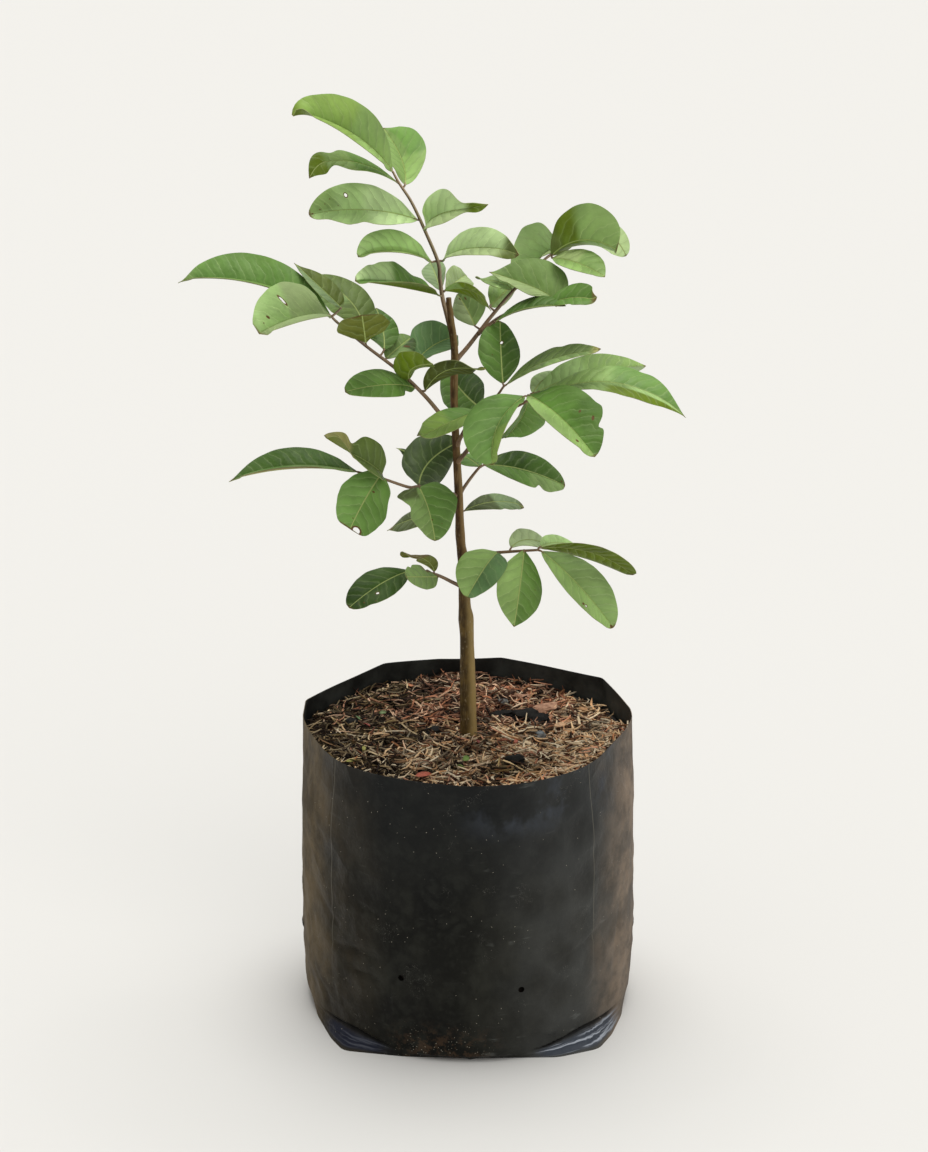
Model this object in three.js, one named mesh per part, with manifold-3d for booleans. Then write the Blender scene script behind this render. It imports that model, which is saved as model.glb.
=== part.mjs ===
// A young rambutan tree in a black film grow bag, in millimetres, +Z up. The origin is at the
// centre of the bag's flat base. The tree is a woody stem and ten compound leaves (fronds): a
// brown stalk with pairs of oval leaflets on short stalks of their own. The bag is full of soil
// under a layer of wood chips.
import * as THREE from 'three';
import { mergeVertices } from 'three/addons/utils/BufferGeometryUtils.js';
import Module from 'manifold-3d';

const wasm = await Module();
wasm.setup();

// Driving dimensions.
const GAP = 0.3; // between pieces that touch

const BAG_HEIGHT = 300;
const BAG_RADIUS = 169;
const BODY_TAPER = 3; // by which the round body narrows towards the base
const BODY_STRAIGHT = 70; // height from which the body is straight
const BAG_BASE_HALF = 160; // the base is a rounded square whose corners stand out as ears
const BASE_SQUARENESS = 3.5; // power of the rounded square, where 2 is a circle
const EAR_HEIGHT = 14;
const RIM_BLEND_FROM = 215; // height from which the round body turns into the rim's outline
// The rim's outline, anticlockwise from the right: flat panels at the back, a smooth front.
const RIM = [[167, 2], [165, 28], [129, 122], [32, 169], [-38, 161], [-85, 148], [-164, 67],
  [-166, 12], [-150, -51], [-133, -98], [-110, -124], [-68, -145], [-18, -166], [22, -168],
  [72, -147], [122, -111], [142, -59]];
const RIM_WAVE = 1.5;
const BAG_FILM = 1.2;
const WALL_HEIGHTS = [5, EAR_HEIGHT, 60, 150, RIM_BLEND_FROM, 250, 280, BAG_HEIGHT];
const AROUND = 36; // sides of the bag's round forms
const ABOVE_RIM = BAG_HEIGHT + 40; // where a form that cuts through the rim ends
const DRAIN_HOLE_RADIUS = 3.2;
const DRAIN_HOLES_FRONT = [[-67, 88], [53, 78]]; // across and height, and again in the back
const DRAIN_HOLES_SIDE = [[-169, 74], [169, 74]];

const SOIL_LEVEL = 280;
const SOIL_RINGS = [0.8, 0.56, 0.3]; // rings of the soil's top, as shares of its radius
const CHIP_COUNT = 50;
const CHIP_LENGTH = [18, 34];
const CHIP_WIDTH = [3, 6];
const CHIP_THICKNESS = [3, 4];
const GOLDEN_ANGLE = 2.39996; // turns each chip's place so that chips spread evenly

const STEM_DEPTH = 70; // buried length below the soil level
const STEM_SIDES = 10;
const STEM_HOLE_EASE = 1.5; // room round the stem in the soil

const BLADE = 0.8; // thickness of a leaflet
const BLADE_ROWS = 5;
const BLADE_COLUMNS = 4;
const EDGE_WAVE = 0.05; // of the half width
const STALK_SIDES = 6;
const LEAFLET_STALK = [1.4, 1.2]; // radius at the frond's stalk and in the leaflet
const LEAFLET_STALK_END = 0.05; // how far along the midrib the leaflet's own stalk is sunk
const SHORTEST_EDGE = 0.08; // finer steps left by joining pieces are smoothed away

// Plant places are written as [across, down, forward] on a drawing sheet that faces a viewer who
// stands VIEW_DISTANCE in front of the plant and looks down at it by VIEW_DROP. Across and down
// are in millimetres at the stem, and forward is how far the point stands in front of the stem.
const VIEW_DISTANCE = 4500;
const VIEW_DROP = THREE.MathUtils.degToRad(20.8);
const SHEET_CENTRE = [464, 576];
const SHEET_CENTRE_PLACE = new THREE.Vector3(-4, 0, 458);
const VIEW_AXIS = new THREE.Vector3(0, Math.cos(VIEW_DROP), -Math.sin(VIEW_DROP));
const VIEW_UP = new THREE.Vector3(0, Math.sin(VIEW_DROP), Math.cos(VIEW_DROP));
const EYE = SHEET_CENTRE_PLACE.clone().addScaledVector(VIEW_AXIS, -VIEW_DISTANCE);

// The stem: centre line and radius at each point, from the cut top to the bark in the soil.
const STEM = [
  [[448.5, 298, 0], 2.7],
  [[450.5, 320, 0], 3.6],
  [[454.5, 350, 0], 3.7],
  [[454.0, 400, 0], 3.9],
  [[456.5, 450, 0], 3.8],
  [[459.0, 500, 0], 4.2],
  [[460.5, 540, 0], 4.7],
  [[463.0, 560, 0], 5.3],
  [[464.5, 600, 0], 5.9],
  [[466.0, 619, 0], 7.6],
  [[467.0, 640, 0], 7.0],
  [[468.0, 700, 0], 8.2],
  [[468.5, 738, 0], 8.8],
];

// Each frond: its stalks (a centre line with the radius at its root and at its end), then its
// leaflets as [base, middle, tip, half width, lift of the left half, lift of the right half,
// twist towards the tip], the lifts and the twist in degrees out of the sheet to the viewer.
const FRONDS = {
  frond_top: {
    stalks: [[[[451, 330, 0], [443, 300, 1], [440, 280, 3], [438, 262, 5], [426, 233, 10],
      [412, 203, 16], [399, 183, 20], [393, 172, 22]], 2.4, 1.1]],
    leaflets: [
      [[393, 172, 22], [350, 132, 50], [292, 112, 70], 29, 76, -10, 20],
      [[405, 187, 18], [401, 160, -15], [383, 130, -50], 25, 65, 10, 0],
      [[398, 183, 20], [352, 162, 45], [304, 167, 70], 18, 74, -66, -70],
      [[418, 220, 12], [365, 210, 45], [309, 215, 70], 27, 60, -18, 0],
      [[426, 228, 10], [442, 214, 38], [479, 208, 64], 23, -10, 74, 30],
      [[443, 261, 6], [469, 249, 35], [515, 251, 70], 22, -28, 80, 20],
      [[432, 262, 6], [395, 251, 40], [358, 257, 70], 22, 78, -15, 10],
      [[441, 296, 4], [399, 287, 45], [355, 281, 80], 24, 108, -30, -20],
      [[440, 290, -4], [436, 276, -45], [430, 262, -85], 13, 20, 25, 0],
      [[446, 290, -4], [457, 281, -48], [466, 275, -85], 15, 10, 30, 0],
      [[444, 291, 4], [470, 290, 24], [489, 306, 44], 16, 72, -62, 0],
    ],
  },
  frond_upper_left: {
    stalks: [[[[449, 424, 0], [441, 415, 8], [425, 396, 18], [400, 372, 28], [366, 346, 40],
      [338, 323, 46], [331, 316, 48]], 2.4, 1.1]],
    leaflets: [
      [[331, 316, 46], [258, 283, 16], [180, 280, -20], 29, 80, -20, 0],
      [[330, 315, 50], [296, 318, 75], [259, 334, 105], 37, 82, -5, 0],
      [[341, 308, 44], [327, 294, 34], [294, 263, 14], 20, 68, -35, 0],
      [[365, 334, 34], [351, 302, 2], [316, 277, -30], 23, 25, -40, 0],
      [[366, 343, 40], [364, 328, 72], [363, 316, 108], 22, 8, 5, 0],
      [[384, 350, 30], [383, 330, 0], [376, 308, -30], 17, 10, -30, 0],
      [[386, 359, 30], [398, 348, 5], [412, 337, -18], 15, -20, 40, 0],
      [[417, 362, 12], [433, 346, -22], [458, 336, -42], 27, -15, 60, 0],
      [[409, 380, 26], [413, 368, 44], [433, 364, 66], 21, 25, -72, 0],
      [[425, 391, 22], [447, 370, 38], [480, 371, 56], 20, 62, -66, 0],
      [[415, 388, 24], [385, 385, 50], [345, 392, 75], 21, 55, -40, 0],
    ],
  },
  frond_upper_right: {
    stalks: [[[[456, 360, 0], [466, 349, -5], [477, 335, -10], [490, 318, -16], [512, 292, -26],
      [525, 280, -32], [549, 256, -42], [577, 243, -52]], 2.4, 1.2],
    [[[478, 334, -10], [500, 321, -4], [530, 311, 0], [556, 307, 2]], 1.8, 1.1]],
    leaflets: [
      [[475, 326, -12], [467, 309, -18], [457, 294, -24], 22, -50, 15, 0],
      [[490, 306, -18], [506, 291, -42], [520, 277, -62], 18, -20, -62, 0],
      [[512, 290, -26], [497, 282, -28], [473, 280, -34], 12, 60, -50, 40],
      [[494, 322, -4], [523, 307, 10], [549, 306, 20], 20, -62, 84, 0],
      [[557, 307, 2], [575, 299, 18], [597, 301, 34], 16, -38, 72, 20],
      [[556, 306, 2], [541, 291, -22], [489, 272, -26], 30, 74, -10, 0],
      [[555, 252, -44], [545, 254, -70], [517, 284, -98], 34, 80, -10, 0],
      [[551, 256, -42], [582, 240, -28], [617, 250, -10], 36, 5, -80, 0],
      [[552, 258, -40], [577, 263, -20], [605, 277, 5], 19, -35, 65, 0],
      [[577, 243, -54], [607, 236, -88], [626, 256, -116], 15, -20, 20, 20],
    ],
  },
  frond_centre: {
    stalks: [[[[455, 449, 0], [466, 428, 10], [481, 409, 15], [495, 398, 18], [504, 386, 20]],
      2.2, 1.1]],
    leaflets: [
      [[481, 408, 14], [462, 391, -22], [444, 366, -60], 23, -20, -20, 0],
      [[480, 411, 17], [451, 423, 32], [422, 452, 40], 19, 76, -50, 0],
      [[503, 384, 20], [501, 355, 8], [500, 321, -15], 23, 15, -35, 0],
      [[506, 385, 20], [548, 362, 36], [599, 351, 56], 20, -66, 78, 0],
    ],
  },
  frond_right: {
    stalks: [[[[457, 463, 0], [466, 452, 14], [482, 432, 26], [500, 415, 34], [525, 402, 42],
      [531, 394, 44]], 2.4, 1.2]],
    leaflets: [
      [[525, 396, 46], [498, 426, 68], [493, 465, 92], 32, 76, -8, 0],
      [[527, 401, 40], [521, 418, 14], [505, 438, -14], 26, -30, 76, 0],
      [[528, 395, 46], [562, 419, 84], [595, 457, 118], 35, -5, 70, 0],
      [[533, 394, 42], [547, 378, 12], [573, 375, -22], 15, -62, 10, 0],
      [[536, 393, 42], [586, 374, 4], [646, 366, -30], 22, -35, 60, 0],
      [[541, 395, 44], [615, 383, 50], [684, 414, 58], 25, -50, 70, 20],
    ],
  },
  frond_small_right: {
    stalks: [[[[461, 492, 0], [470, 479, -10], [479, 468, -16], [484, 465, -20]], 1.8, 1.1]],
    leaflets: [
      [[484, 465, -20], [524, 470, -32], [565, 486, -46], 22, -35, 50, 0],
      [[480, 467, -18], [471, 460, -34], [460, 454, -54], 12, 40, -50, 0],
    ],
  },
  frond_left: {
    stalks: [[[[458, 496, 0], [445, 492, 10], [419, 487, 20], [408, 487, 24], [378, 477, 32],
      [358, 472, 38]], 2.2, 1.1]],
    leaflets: [
      [[419, 487, 22], [431, 512, 42], [435, 540, 70], 28, -5, 40, 0],
      [[419, 486, 16], [433, 461, -18], [463, 441, -44], 25, -20, -38, 0],
      [[416, 486, 22], [409, 465, 10], [401, 444, -4], 13, -50, -50, 0],
      [[382, 475, 32], [371, 462, 50], [325, 438, 78], 23, 76, -15, 0],
      [[377, 479, 34], [362, 503, 58], [347, 533, 85], 29, -20, 22, 0],
      [[358, 472, 38], [295, 466, 28], [236, 478, 14], 26, 84, -45, 0],
    ],
  },
  frond_back: {
    stalks: [[[[459, 522, 0], [459, 514, -16], [461, 511, -26]], 1.8, 1.2]],
    leaflets: [
      [[464, 511, -26], [494, 502, -40], [524, 506, -56], 16, -58, 60, 0],
      [[456, 511, -26], [420, 517, -40], [389, 529, -58], 17, 58, -60, 0],
    ],
  },
  frond_low_right: {
    stalks: [[[[462, 559, 0], [473, 555, 8], [505, 552, 20], [538, 550, 30]], 2.2, 1.2]],
    leaflets: [
      [[498, 552, 18], [484, 570, 40], [467, 598, 62], 24, 54, -10, 0],
      [[524, 550, 26], [520, 585, 48], [514, 627, 70], 26, -30, 30, 0],
      [[541, 551, 32], [578, 585, 52], [613, 628, 72], 27, -25, 62, 0],
      [[539, 548, 28], [590, 553, 10], [633, 575, -12], 19, 70, -74, 0],
      [[511, 548, 18], [527, 540, -4], [549, 546, -30], 16, -45, 60, 0],
      [[540, 547, 26], [556, 543, 2], [577, 546, -24], 13, -50, 60, 0],
    ],
  },
  frond_low_left: {
    stalks: [[[[464, 588, 0], [454, 583, 10], [434, 574, 20], [410, 571, 28]], 2.2, 1.2]],
    leaflets: [
      [[434, 572, 18], [425, 560, 2], [402, 554, -16], 12, 60, -50, 40],
      [[438, 577, 20], [423, 577, 42], [406, 577, 66], 15, 35, -35, 0],
      [[410, 571, 28], [381, 584, 50], [349, 608, 75], 22, 45, -38, 0],
    ],
  },
};

function makeMaterial(color, roughness) {
  return new THREE.MeshStandardMaterial({ color, roughness, metalness: 0 });
}

const LEAF = makeMaterial(0x4f7d3c, 0.5);
const BARK = makeMaterial(0x6a5844, 0.85);
const SOIL = makeMaterial(0x6e4a30, 0.95);
const FILM = makeMaterial(0x1c1d1c, 0.42);

const tree = new THREE.Group();

function addPiece(name, geometry, material) {
  const mesh = new THREE.Mesh(geometry, material);
  mesh.name = name;
  tree.add(mesh);
}

// Joins and cuts -------------------------------------------------------------------------------

function toSolid(geometry) {
  const bare = geometry.clone();
  bare.deleteAttribute('normal');
  bare.deleteAttribute('uv');
  const merged = mergeVertices(bare, 1e-4);
  return new wasm.Manifold(new wasm.Mesh({
    numProp: 3,
    vertProperties: new Float32Array(merged.attributes.position.array),
    triVerts: new Uint32Array(merged.index.array),
  }));
}

function toGeometry(solid) {
  const { vertProperties, triVerts } = solid.getMesh();
  const geometry = new THREE.BufferGeometry();
  geometry.setAttribute('position', new THREE.BufferAttribute(vertProperties, 3));
  geometry.setIndex(new THREE.BufferAttribute(triVerts, 1));
  geometry.computeVertexNormals();
  return geometry;
}

function join(solids) {
  return solids.reduce((whole, solid) => whole.add(solid));
}

// The largest body of a solid: pockets that joining sealed are filled, and scraps are dropped.
function mainBody(solid) {
  const bodies = solid.simplify(SHORTEST_EDGE).decompose();
  return bodies.reduce((best, body) => (body.volume() > best.volume() ? body : best));
}

// Repeatable draws: the same numbers on every run.
function makeDraws(seed) {
  let state = seed;
  return (low, high) => {
    state = (state * 1664525 + 1013904223) % 4294967296;
    return low + (high - low) * (state / 4294967296);
  };
}

// The plant ------------------------------------------------------------------------------------

function sheet([across, down, forward]) {
  const ray = VIEW_AXIS.clone();
  ray.x += (across - SHEET_CENTRE[0]) / VIEW_DISTANCE;
  ray.addScaledVector(VIEW_UP, (SHEET_CENTRE[1] - down) / VIEW_DISTANCE);
  return EYE.clone().addScaledVector(ray, (-forward - EYE.y) / ray.y);
}

// A closed round rod along a smooth line: a cylinder whose rings are moved onto the line.
function rod(points, radii, sides, steps) {
  const curve = new THREE.CatmullRomCurve3(points);
  const geometry = new THREE.CylinderGeometry(1, 1, 1, sides, steps);
  const places = geometry.attributes.position;
  const reference = new THREE.Vector3(0.2, 1, 0.1);
  for (let i = 0; i < places.count; i += 1) {
    const t = THREE.MathUtils.clamp(places.getY(i) + 0.5, 0, 1);
    const tangent = curve.getTangent(t);
    const across = tangent.clone().cross(reference).normalize();
    const along = across.clone().cross(tangent);
    const index = t * (radii.length - 1);
    const first = Math.min(Math.floor(index), radii.length - 2);
    const radius = THREE.MathUtils.lerp(radii[first], radii[first + 1], index - first);
    const place = curve.getPoint(t)
      .addScaledVector(across, places.getX(i) * radius)
      .addScaledVector(along, places.getZ(i) * radius);
    places.setXYZ(i, place.x, place.y, place.z);
  }
  return geometry;
}

// Half width of a leaflet along its midrib, as a share of its widest half: a blunt base, an
// oval body and a short pointed tip.
function outline(t) {
  return Math.max(0, Math.sin(Math.PI * t ** 1.2)) ** (0.72 - 0.3 * t + 0.45 * t ** 4);
}

// A point on a leaflet: t runs from the base to the tip, s from the left edge to the right one.
function leafletPoint(leaflet, phase, t, s) {
  const [base, middle, tip, half, liftLeft, liftRight, twist] = leaflet;
  const [a, m, c] = [sheet(base), sheet(middle), sheet(tip)];
  const b = m.clone().multiplyScalar(2).addScaledVector(a, -0.5).addScaledVector(c, -0.5);
  const rib = new THREE.QuadraticBezierCurve3(a, b, c);
  const tangent = rib.getTangent(t);
  const chord = c.clone().sub(a).normalize();
  const toViewer = EYE.clone().sub(m).normalize();
  const right = tangent.clone().addScaledVector(chord, 0.8).cross(toViewer).normalize();
  const face = right.clone().cross(tangent).normalize();
  right.copy(tangent).cross(face);
  const width = half * outline(t);
  const reach = Math.abs(s);
  const side = s < 0 ? 1 : -1;
  const roll = (liftLeft - liftRight) / 2 + twist * t ** 3;
  const fold = (liftLeft + liftRight) / 2 + 12 - 12 * reach;
  const angle = THREE.MathUtils.degToRad(side * roll + fold * Math.min(1, 2 * outline(t)));
  const wave = EDGE_WAVE * half * reach ** 2 * Math.sin(15 * t + phase + (s < 0 ? 2 : 0));
  return rib.getPoint(t)
    .addScaledVector(right, width * s * Math.cos(angle))
    .addScaledVector(face, width * reach * Math.sin(angle) + wave * outline(t));
}

// A leaflet as a closed blade: its middle surface is a grid between a base point and a tip
// point, and each of its points is moved half the thickness to either side. Both faces are split
// into triangles along the same diagonals.
function blade(leaflet, phase) {
  const columns = BLADE_COLUMNS + 1;
  const grid = [leafletPoint(leaflet, phase, 0, 0)];
  for (let row = 1; row < BLADE_ROWS; row += 1) {
    for (let column = 0; column < columns; column += 1) {
      const s = (2 * column) / BLADE_COLUMNS - 1;
      grid.push(leafletPoint(leaflet, phase, row / BLADE_ROWS, s));
    }
  }
  grid.push(leafletPoint(leaflet, phase, 1, 0));
  const tip = grid.length - 1;
  const at = (row, column) => {
    if (row === 0) return 0;
    return row === BLADE_ROWS ? tip : 1 + (row - 1) * columns + column;
  };
  const face = [];
  for (let row = 0; row < BLADE_ROWS; row += 1) {
    for (let column = 0; column < BLADE_COLUMNS; column += 1) {
      const [a, b] = [at(row, column), at(row, column + 1)];
      const [c, d] = [at(row + 1, column + 1), at(row + 1, column)];
      if (row === 0) face.push(a, c, d);
      else if (row === BLADE_ROWS - 1) face.push(a, b, c);
      else if (column < BLADE_COLUMNS / 2) face.push(a, b, d, b, c, d);
      else face.push(a, b, c, a, c, d);
    }
  }
  const middle = new THREE.BufferGeometry().setFromPoints(grid);
  middle.setIndex(face);
  middle.computeVertexNormals();
  const normals = middle.attributes.normal;
  const shifted = (side) => grid.map((point, i) => point.clone()
    .addScaledVector(new THREE.Vector3().fromBufferAttribute(normals, i), side * BLADE / 2));

  const border = [0];
  for (let row = 1; row < BLADE_ROWS; row += 1) border.push(at(row, BLADE_COLUMNS));
  border.push(tip);
  for (let row = BLADE_ROWS - 1; row > 0; row -= 1) border.push(at(row, 0));
  const index = [...face];
  for (let i = 0; i < face.length; i += 3) {
    index.push(...[face[i], face[i + 2], face[i + 1]].map((k) => k + grid.length));
  }
  border.forEach((k, i) => {
    const next = border[(i + 1) % border.length];
    index.push(k, k + grid.length, next, next, k + grid.length, next + grid.length);
  });
  const geometry = new THREE.BufferGeometry().setFromPoints([...shifted(1), ...shifted(-1)]);
  geometry.setIndex(index);
  return geometry;
}

// The point of a frond's stalks nearest to a place, where a leaflet's own stalk grows out.
function nearestOnStalks(curves, place) {
  let best = null;
  curves.forEach((curve) => {
    curve.getPoints(60).forEach((point) => {
      if (best === null || point.distanceTo(place) < best.distanceTo(place)) best = point;
    });
  });
  return best;
}

function makeFrond({ stalks, leaflets }, clearance) {
  const solids = [];
  const curves = [];
  stalks.forEach(([points, rootRadius, endRadius]) => {
    const places = points.map(sheet);
    curves.push(new THREE.CatmullRomCurve3(places));
    solids.push(toSolid(rod(places, [rootRadius, endRadius], STALK_SIDES, points.length)));
  });
  leaflets.forEach((leaflet, number) => {
    solids.push(toSolid(blade(leaflet, number * 1.7)));
    const root = nearestOnStalks(curves, leafletPoint(leaflet, 0, 0, 0));
    const end = leafletPoint(leaflet, 0, LEAFLET_STALK_END, 0);
    solids.push(toSolid(rod([root, end], LEAFLET_STALK, 3, 1)));
  });
  return mainBody(join(solids).subtract(clearance));
}

const stemPlaces = STEM.map(([point]) => sheet(point));
const stemRadii = STEM.map(([, radius]) => radius);
const stemFoot = stemPlaces[stemPlaces.length - 1].clone();
stemFoot.z = SOIL_LEVEL - STEM_DEPTH;
const stemLine = [...stemPlaces, stemFoot];
const stemTaper = [...stemRadii, stemRadii[stemRadii.length - 1]];

function stemRod(extra) {
  const radii = stemTaper.map((radius) => radius + extra);
  return rod(stemLine, radii, STEM_SIDES, 2 * STEM.length);
}

const stemClearance = toSolid(stemRod(GAP));
addPiece('stem', stemRod(0), BARK);

Object.entries(FRONDS).forEach(([name, frond]) => {
  addPiece(name, toGeometry(makeFrond(frond, stemClearance)), LEAF);
});

// The bag --------------------------------------------------------------------------------------

// Distance from the axis to the rim's outline at an angle.
function rimRadius(angle) {
  const [dx, dy] = [Math.cos(angle), Math.sin(angle)];
  for (let i = 0; i < RIM.length; i += 1) {
    const [ax, ay] = RIM[i];
    const [bx, by] = RIM[(i + 1) % RIM.length];
    const before = dx * ay - dy * ax;
    const after = dx * by - dy * bx;
    const crossing = (ax * by - ay * bx) / (dx * (by - ay) - dy * (bx - ax));
    if (before <= 0 && after > 0 && crossing > 0) return crossing;
  }
  return BAG_RADIUS;
}

// Radius of the bag's outside at an angle and a height: a round body over a rounded square base,
// with the rim's own outline at the top.
function bagRadius(angle, height) {
  const narrowing = 1 - THREE.MathUtils.smoothstep(height, 0, BODY_STRAIGHT);
  const body = BAG_RADIUS - BODY_TAPER * narrowing;
  if (height < EAR_HEIGHT) {
    const power = BASE_SQUARENESS;
    const round = Math.abs(Math.cos(angle)) ** power + Math.abs(Math.sin(angle)) ** power;
    return THREE.MathUtils.lerp(BAG_BASE_HALF / round ** (1 / power), body, height / EAR_HEIGHT);
  }
  const share = THREE.MathUtils.smoothstep(height, RIM_BLEND_FROM, BAG_HEIGHT);
  return THREE.MathUtils.lerp(body, rimRadius(angle), share);
}

function rimHeight(angle) {
  return BAG_HEIGHT + RIM_WAVE * (Math.sin(3 * angle + 0.6) + 0.6 * Math.sin(7 * angle));
}

// A closed round form from rings: the profile gives a height and an inset at each ring.
function ringForm(rings, around) {
  const places = [];
  rings.forEach(({ height, inset, shrink = 1 }) => {
    for (let i = 0; i < around; i += 1) {
      const angle = (i * 2 * Math.PI) / around;
      const z = typeof height === 'function' ? height(angle) : height;
      const radius = (bagRadius(angle, Math.max(z, 0)) - inset) * shrink;
      places.push(new THREE.Vector3(radius * Math.cos(angle), radius * Math.sin(angle), z));
    }
  });
  const index = [];
  for (let ring = 0; ring < rings.length - 1; ring += 1) {
    for (let i = 0; i < around; i += 1) {
      const next = (i + 1) % around;
      const [a, b] = [ring * around + i, ring * around + next];
      index.push(a, b, b + around, a, b + around, a + around);
    }
  }
  [0, rings.length - 1].forEach((ring) => {
    const { height } = rings[ring];
    places.push(new THREE.Vector3(0, 0, typeof height === 'function' ? height(0) : height));
    const centre = places.length - 1;
    for (let i = 0; i < around; i += 1) {
      const [a, b] = [ring * around + i, ring * around + ((i + 1) % around)];
      if (ring === 0) index.push(centre, b, a);
      else index.push(centre, a, b);
    }
  });
  const geometry = new THREE.BufferGeometry().setFromPoints(places);
  geometry.setIndex(index);
  return geometry;
}

// The bag's round form shrunk by an inset, from a floor height up to a top height. Every form
// made this way has its rings at the same heights, so that one nests in another.
function bagForm(inset, floor, top) {
  const heights = WALL_HEIGHTS.filter((height) => height < top);
  return [floor, ...heights, top].map((height) => ({ height, inset }));
}

function makeBag() {
  const punch = (length) => {
    return new THREE.CylinderGeometry(DRAIN_HOLE_RADIUS, DRAIN_HOLE_RADIUS, length, 8);
  };
  const cutters = [ringForm(bagForm(BAG_FILM, BAG_FILM, ABOVE_RIM), AROUND)];
  DRAIN_HOLES_FRONT.forEach(([across, height]) => {
    cutters.push(punch(3 * BAG_RADIUS).translate(across, 0, height));
  });
  DRAIN_HOLES_SIDE.forEach(([across, height]) => {
    cutters.push(punch(60).rotateZ(Math.PI / 2).translate(across, 0, height));
  });
  const outside = bagForm(0, 0, BAG_HEIGHT);
  outside[outside.length - 1].height = rimHeight;
  return toSolid(ringForm(outside, AROUND)).subtract(join(cutters.map(toSolid)));
}

addPiece('grow_bag', toGeometry(makeBag()), FILM);

// The soil -------------------------------------------------------------------------------------

function soilHeight(x, y) {
  const bumps = 2.2 * Math.sin(x / 23) * Math.cos(y / 19) + 1.6 * Math.sin((x + y) / 13 + 1);
  const hollow = 9 * Math.exp(-(((x - 110) / 60) ** 2) - ((y - 80) / 60) ** 2);
  return SOIL_LEVEL + bumps - hollow;
}

function makeSoil() {
  const inset = BAG_FILM + GAP;
  const rings = bagForm(inset, inset, SOIL_LEVEL);
  SOIL_RINGS.forEach((shrink) => rings.push({ height: SOIL_LEVEL, inset, shrink }));
  const geometry = ringForm(rings, AROUND);
  const places = geometry.attributes.position;
  for (let i = 0; i < places.count; i += 1) {
    if (places.getZ(i) === SOIL_LEVEL) {
      places.setZ(i, soilHeight(places.getX(i), places.getY(i)));
    }
  }
  const draw = makeDraws(7);
  const solids = [toSolid(geometry)];
  for (let i = 0; i < CHIP_COUNT; i += 1) {
    const radius = Math.sqrt(draw(0.02, 0.86)) * BAG_RADIUS;
    const angle = i * GOLDEN_ANGLE;
    const [x, y] = [radius * Math.cos(angle), radius * Math.sin(angle)];
    const size = [draw(...CHIP_LENGTH), draw(...CHIP_WIDTH), draw(...CHIP_THICKNESS)];
    const chip = new THREE.BoxGeometry(...size);
    chip.rotateX(draw(-0.5, 0.5));
    chip.rotateY(draw(-0.16, 0.16));
    chip.rotateZ(draw(0, Math.PI));
    chip.translate(x, y, soilHeight(x, y) + 0.8);
    solids.push(toSolid(chip));
  }
  const room = ringForm(bagForm(inset, inset, ABOVE_RIM), AROUND);
  const wide = Math.max(...stemTaper) + STEM_HOLE_EASE;
  const hole = new THREE.CylinderGeometry(wide, wide, 2 * STEM_DEPTH, STEM_SIDES);
  hole.rotateX(Math.PI / 2).translate(stemFoot.x, stemFoot.y, stemFoot.z + STEM_DEPTH - GAP);
  return mainBody(join(solids).intersect(toSolid(room)).subtract(toSolid(hole)));
}

addPiece('soil', toGeometry(makeSoil()), SOIL);

export default tree;
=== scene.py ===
# A young rambutan tree in a black film grow bag, dressed for close views. Lengths are in metres
# unless a name or a comment says otherwise, and the origin is at the centre of the bag's base.
import math
import random

import bmesh
import bpy
from mathutils import Matrix, Vector, noise


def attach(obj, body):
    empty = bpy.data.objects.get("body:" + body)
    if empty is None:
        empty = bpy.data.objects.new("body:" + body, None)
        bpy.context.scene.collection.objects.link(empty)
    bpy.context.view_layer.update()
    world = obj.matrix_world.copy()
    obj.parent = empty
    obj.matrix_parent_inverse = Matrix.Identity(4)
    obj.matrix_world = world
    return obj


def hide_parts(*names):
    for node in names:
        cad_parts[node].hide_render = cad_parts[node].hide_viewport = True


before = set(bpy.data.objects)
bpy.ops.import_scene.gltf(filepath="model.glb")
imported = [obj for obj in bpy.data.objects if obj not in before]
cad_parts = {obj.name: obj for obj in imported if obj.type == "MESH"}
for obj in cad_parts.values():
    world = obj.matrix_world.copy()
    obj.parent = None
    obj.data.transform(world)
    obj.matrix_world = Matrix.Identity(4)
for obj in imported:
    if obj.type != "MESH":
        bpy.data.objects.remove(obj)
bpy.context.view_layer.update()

MM = 0.001

# The sheet that the plant is laid out on --------------------------------------------------------
# Plant places are written as [across, down, forward] on a sheet that faces a viewer who stands
# VIEW_DISTANCE in front of the plant and looks down at it by VIEW_DROP. Across and down are in
# millimetres at the stem, and forward is how far the point stands in front of the stem.
VIEW_DISTANCE = 4.5
VIEW_DROP = math.radians(20.8)
SHEET_CENTRE = (464, 576)
SHEET_HEIGHT = 1152
SHEET_CENTRE_PLACE = Vector((-0.004, 0, 0.458))
VIEW_AXIS = Vector((0, math.cos(VIEW_DROP), -math.sin(VIEW_DROP)))
VIEW_UP = Vector((0, math.sin(VIEW_DROP), math.cos(VIEW_DROP)))
EYE = SHEET_CENTRE_PLACE - VIEW_AXIS * VIEW_DISTANCE

BAG_HEIGHT = 0.3
BAG_RADIUS = 0.169
BODY_TAPER = 3 * MM
BODY_STRAIGHT = 0.07
EAR_HEIGHT = 0.018
RIM_BLEND_FROM = 0.215
# The rim's outline in millimetres, anticlockwise from the right.
RIM = [(167, 2), (166, 26), (139, 104), (35, 163), (-30, 158), (-87, 142), (-166, 48), (-168, 8),
       (-150, -51), (-133, -98), (-110, -124), (-68, -145), (-18, -166), (22, -168), (72, -147),
       (122, -111), (142, -59)]
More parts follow.
